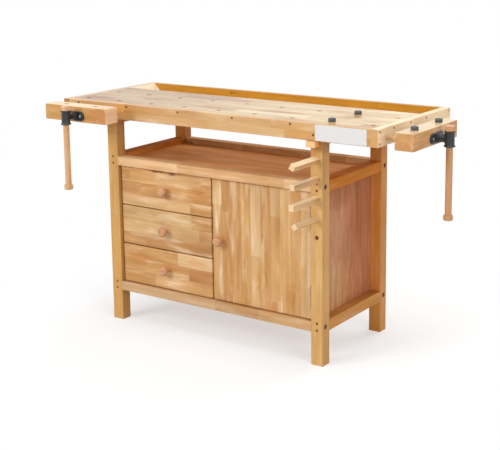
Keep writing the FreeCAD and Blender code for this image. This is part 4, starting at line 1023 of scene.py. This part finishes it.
# %% [markdown]
# ## Bearers and leg tops
# The measured bearers are as wide as the legs. On the real frame they are narrower: each lies flush with
# the inner face of its legs and is let into their tops, so that a thin outer cheek of every leg rises
# beside it to the worktop. The two pieces of such a joint are flat outlines drawn out straight. Each row
# of the grid is the outline once more, and the first and last rows meet in one point inside it. The rim
# is eased by drawing the end rows a little inwards.

# %% Drawn-out boards
BEARER_WIDTH, BEARER_DROP = 36.0, 22.0
EASE = 1.0


def drawn_out(outline, heart, start, end):
    """A closed outline (n, 2), anticlockwise, carried from start to end, all in mm.

    The end rows hold every corner moved inwards by EASE along the mean of its two sides' normals, times
    1 / (1 + the cosine between them) so that each side moves by EASE. heart is a point that sees them all.
    """
    outline = np.array(outline, float)
    sides = np.roll(outline, -1, axis=0) - outline
    inward = np.stack([-sides[:, 1], sides[:, 0]], axis=-1) / np.linalg.norm(sides, axis=1)[:, None]
    before = np.roll(inward, 1, axis=0)
    smaller = outline + EASE * (inward + before) / (1 + (inward * before).sum(axis=1))[:, None]
    point = np.zeros_like(outline) + heart
    rows = [(point, start), (smaller, start), (outline, start + EASE), (outline, end - EASE),
            (smaller, end), (point, end)]
    return np.stack([np.column_stack([row, np.full(len(row), height)]) for row, height in rows])


def corners_mm(name):
    """[low, high] corners of a measured piece in mm."""
    return [corner / MM for corner in box_of(name)]


print("bearers", BEARER_WIDTH, "mm wide")

# %% [markdown]
# The bearer's outline is seen from the bench's side. It runs under the apron and the tray, and rises
# between them to the slab. The outline of a leg top is seen from the front: its cheek rises beside the
# bearer as high as the apron's underside, and its foot fills the space between the leg and the bearer.

# %% Bearers and leg tops
(_, bearer_front, _), (_, bearer_back, bearer_top) = corners_mm("top_bearers")
edge_bottom = corners_mm("front_apron")[0][2]
slab_front = corners_mm("worktop_slab")[0][1]
tray_front = corners_mm("tray_inner_rail")[0][1]
bearer_bottom = edge_bottom - BEARER_DROP
bearer_outline = [(bearer_front, bearer_bottom), (bearer_back, bearer_bottom), (bearer_back, edge_bottom),
                  (tray_front, edge_bottom), (tray_front, bearer_top), (slab_front, bearer_top),
                  (slab_front, edge_bottom), (bearer_front, edge_bottom)]
heart = ((slab_front + tray_front) / 2, edge_bottom - BEARER_DROP / 2)
bearers, cheeks = [], {"front": [], "back": []}
for name in [name for name in nodes if name.startswith("leg_")]:
    low, high = corners_mm(name)
    outer = 1 if low[0] > 0 else -1
    inner_face = low[0] if outer > 0 else high[0]
    row = name.split("_")[1]
    if row == "front":
        span = sorted((inner_face, inner_face + outer * BEARER_WIDTH))
        points = drawn_out(bearer_outline, heart, *span)
        bearers.append(grid_shell(placed(points, (0, 0, 0), (0, 1, 0), UP, (1, 0, 0))))
    width, top = high[0] - low[0], high[2]
    step = [(0, top), (width, top), (width, edge_bottom), (BEARER_WIDTH, edge_bottom),
            (BEARER_WIDTH, bearer_bottom), (0, bearer_bottom)]
    middle = ((BEARER_WIDTH + width) / 2, (top + bearer_bottom) / 2)
    points = drawn_out(step, middle, low[1], high[1])
    start = (inner_face * MM, 0, 0)
    cheeks[row].append(grid_shell(placed(points, start, (outer, 0, 0), UP, (0, 1, 0))))
closed_piece("bearers_let_in", bearers, bearer_shaded_wood, "bench", replaced=["top_bearers"],
             sharp=30)
closed_piece("front_leg_tops", cheeks["front"], leg_wood, "bench", sharp=30)
closed_piece("back_leg_tops", cheeks["back"], back_leg_shaded_wood, "bench", sharp=30)

# %% [markdown]
# ## The bare plate
# A thin pale plate with round corners is stuck on the apron near the end vise. Nothing is printed on
# it. It is one turned shape whose four quarters are spread into a rectangle, with a faint paper grain.

# %% Plate on the apron
PLATE_LEFT, PLATE_RIGHT = 0.3535, 0.5485
PLATE_BOTTOM, PLATE_TOP = 0.802, 0.8565
THICKNESS, CORNER = 0.35, 2.0
paper = speckled("plain_paper", (212, 210, 208), (222, 220, 218), 0.5, 0.0, 1500.0, 0.00005)
apron_front = list(box_of("front_apron"))[0][1]
half_width = (PLATE_RIGHT - PLATE_LEFT) / 2 / MM - CORNER
half_height = (PLATE_TOP - PLATE_BOTTOM) / 2 / MM - CORNER
edge = [(0, -0.02, 0), (CORNER, -0.02), (CORNER, THICKNESS - 0.1), (CORNER - 0.15, THICKNESS),
        (0, THICKNESS, 0)]
middle = ((PLATE_LEFT + PLATE_RIGHT) / 2, apron_front, (PLATE_BOTTOM + PLATE_TOP) / 2)
plate_points = placed(turned(edge, 32, apart=(half_width, half_height)), middle, (1, 0, 0), UP, (0, -1, 0))
closed_piece("bare_plate", [grid_shell(plate_points)], paper, "bench", sharp=15)

# %% [markdown]
# ## Light and floor
# Four soft lamps light the bench. The key stands low at the front left and lights the fronts. A weaker
# one at the right lifts the right sides. One overhead and one behind keep the tops palest, and the one
# behind also shines into the open shelf. Its image would glare on the varnished worktop, so no surface
# mirrors it. The rest comes from a pale sky all round. The floor is pale too. It fades into pure white
# away from the bench, so that it shows no horizon but keeps a soft shadow.

# %% Sky
SKY_LIGHT = 0.38
WHITE = (1, 1, 1, 1)
world = bpy.data.worlds.new("studio")
bpy.context.scene.world = world
world.use_nodes = True
sky = world.node_tree
background = sky.nodes["Background"]


def is_seen(tree):
    """1 for rays that show a surface directly, in a mirror or through glass, and 0 for rays of light."""
    paths = add(tree, "LightPath").outputs
    indirect = Number(paths["Is Glossy Ray"]).step("MAXIMUM", paths["Is Transmission Ray"])
    return indirect.step("MAXIMUM", paths["Is Camera Ray"])


background.inputs["Color"].default_value = WHITE
wire(background, "Strength", is_seen(sky).spread(0.0, 1.0, SKY_LIGHT, 1.0))
print("sky", SKY_LIGHT)


# %% Lamps
def soft_lamp(name, place, aim_height, side, power, mirrored=True):
    """A square lamp at place, turned towards a point above the frame's middle."""
    lamp = bpy.data.lights.new(name, "AREA")
    lamp.shape = "SQUARE"
    lamp.size = side
    lamp.energy = power
    obj = bpy.data.objects.new(name, lamp)
    bpy.context.scene.collection.objects.link(obj)
    turn = (Vector((0, 0, aim_height)) - Vector(place)).to_track_quat("-Z", "Y")
    obj.matrix_world = Matrix.Translation(place) @ turn.to_matrix().to_4x4()
    obj.visible_glossy = mirrored
    print(name, power, "W")


soft_lamp("key", (-2.5, -5.0, 3.2), 0.5, 2.6, 190)
soft_lamp("right_fill", (5.0, -2.6, 2.6), 0.5, 2.4, 120)
soft_lamp("overhead", (0.3, -0.6, 5.0), 0.5, 3.0, 80)
soft_lamp("behind", (0.6, 4.6, 2.9), 0.7, 3.5, 170, mirrored=False)

# %% Floor
FLOOR_REACH = 8.0
LIGHT_FLOOR, SEEN_FLOOR = (0.6, 0.6, 0.6, 1), (0.95, 0.95, 0.95, 1)
NEAR_WHITE = 0.5
FADE_FROM, FADE_TO = 0.5, 1.3
floor_material, tree, shader = new_material("pale_floor")
seen = is_seen(tree)
place = add(tree, "TexCoord").outputs["Object"]
away = Number(add(tree, "VectorMath", [(0, place)], operation="LENGTH").outputs["Value"])
wire(shader, "Base Color", blended(tree, seen, LIGHT_FLOOR, SEEN_FLOOR))
shader.inputs["Roughness"].default_value = 0.8
plain_white = add(tree, "Emission", [("Color", WHITE), ("Strength", 1.0)])
fade = away.spread(FADE_FROM, FADE_TO, NEAR_WHITE, 1.0) * seen
mixed = add(tree, "MixShader", [(0, fade), (1, shader.outputs[0]), (2, plain_white.outputs[0])])
wire(tree.nodes["Material Output"], "Surface", mixed.outputs[0])
corners = np.array([(-1, -1, 0), (1, -1, 0), (1, 1, 0), (-1, 1, 0)]) * FLOOR_REACH
floor_mesh = bpy.data.meshes.new("floor")
floor_mesh.from_pydata(corners.tolist(), [], [(0, 1, 2, 3)])
floor_mesh.materials.append(floor_material)
floor = bpy.data.objects.new("floor", floor_mesh)
bpy.context.scene.collection.objects.link(floor)
bpy.context.scene.view_settings.view_transform = "Standard"
print("floor", 2 * FLOOR_REACH, "m across")
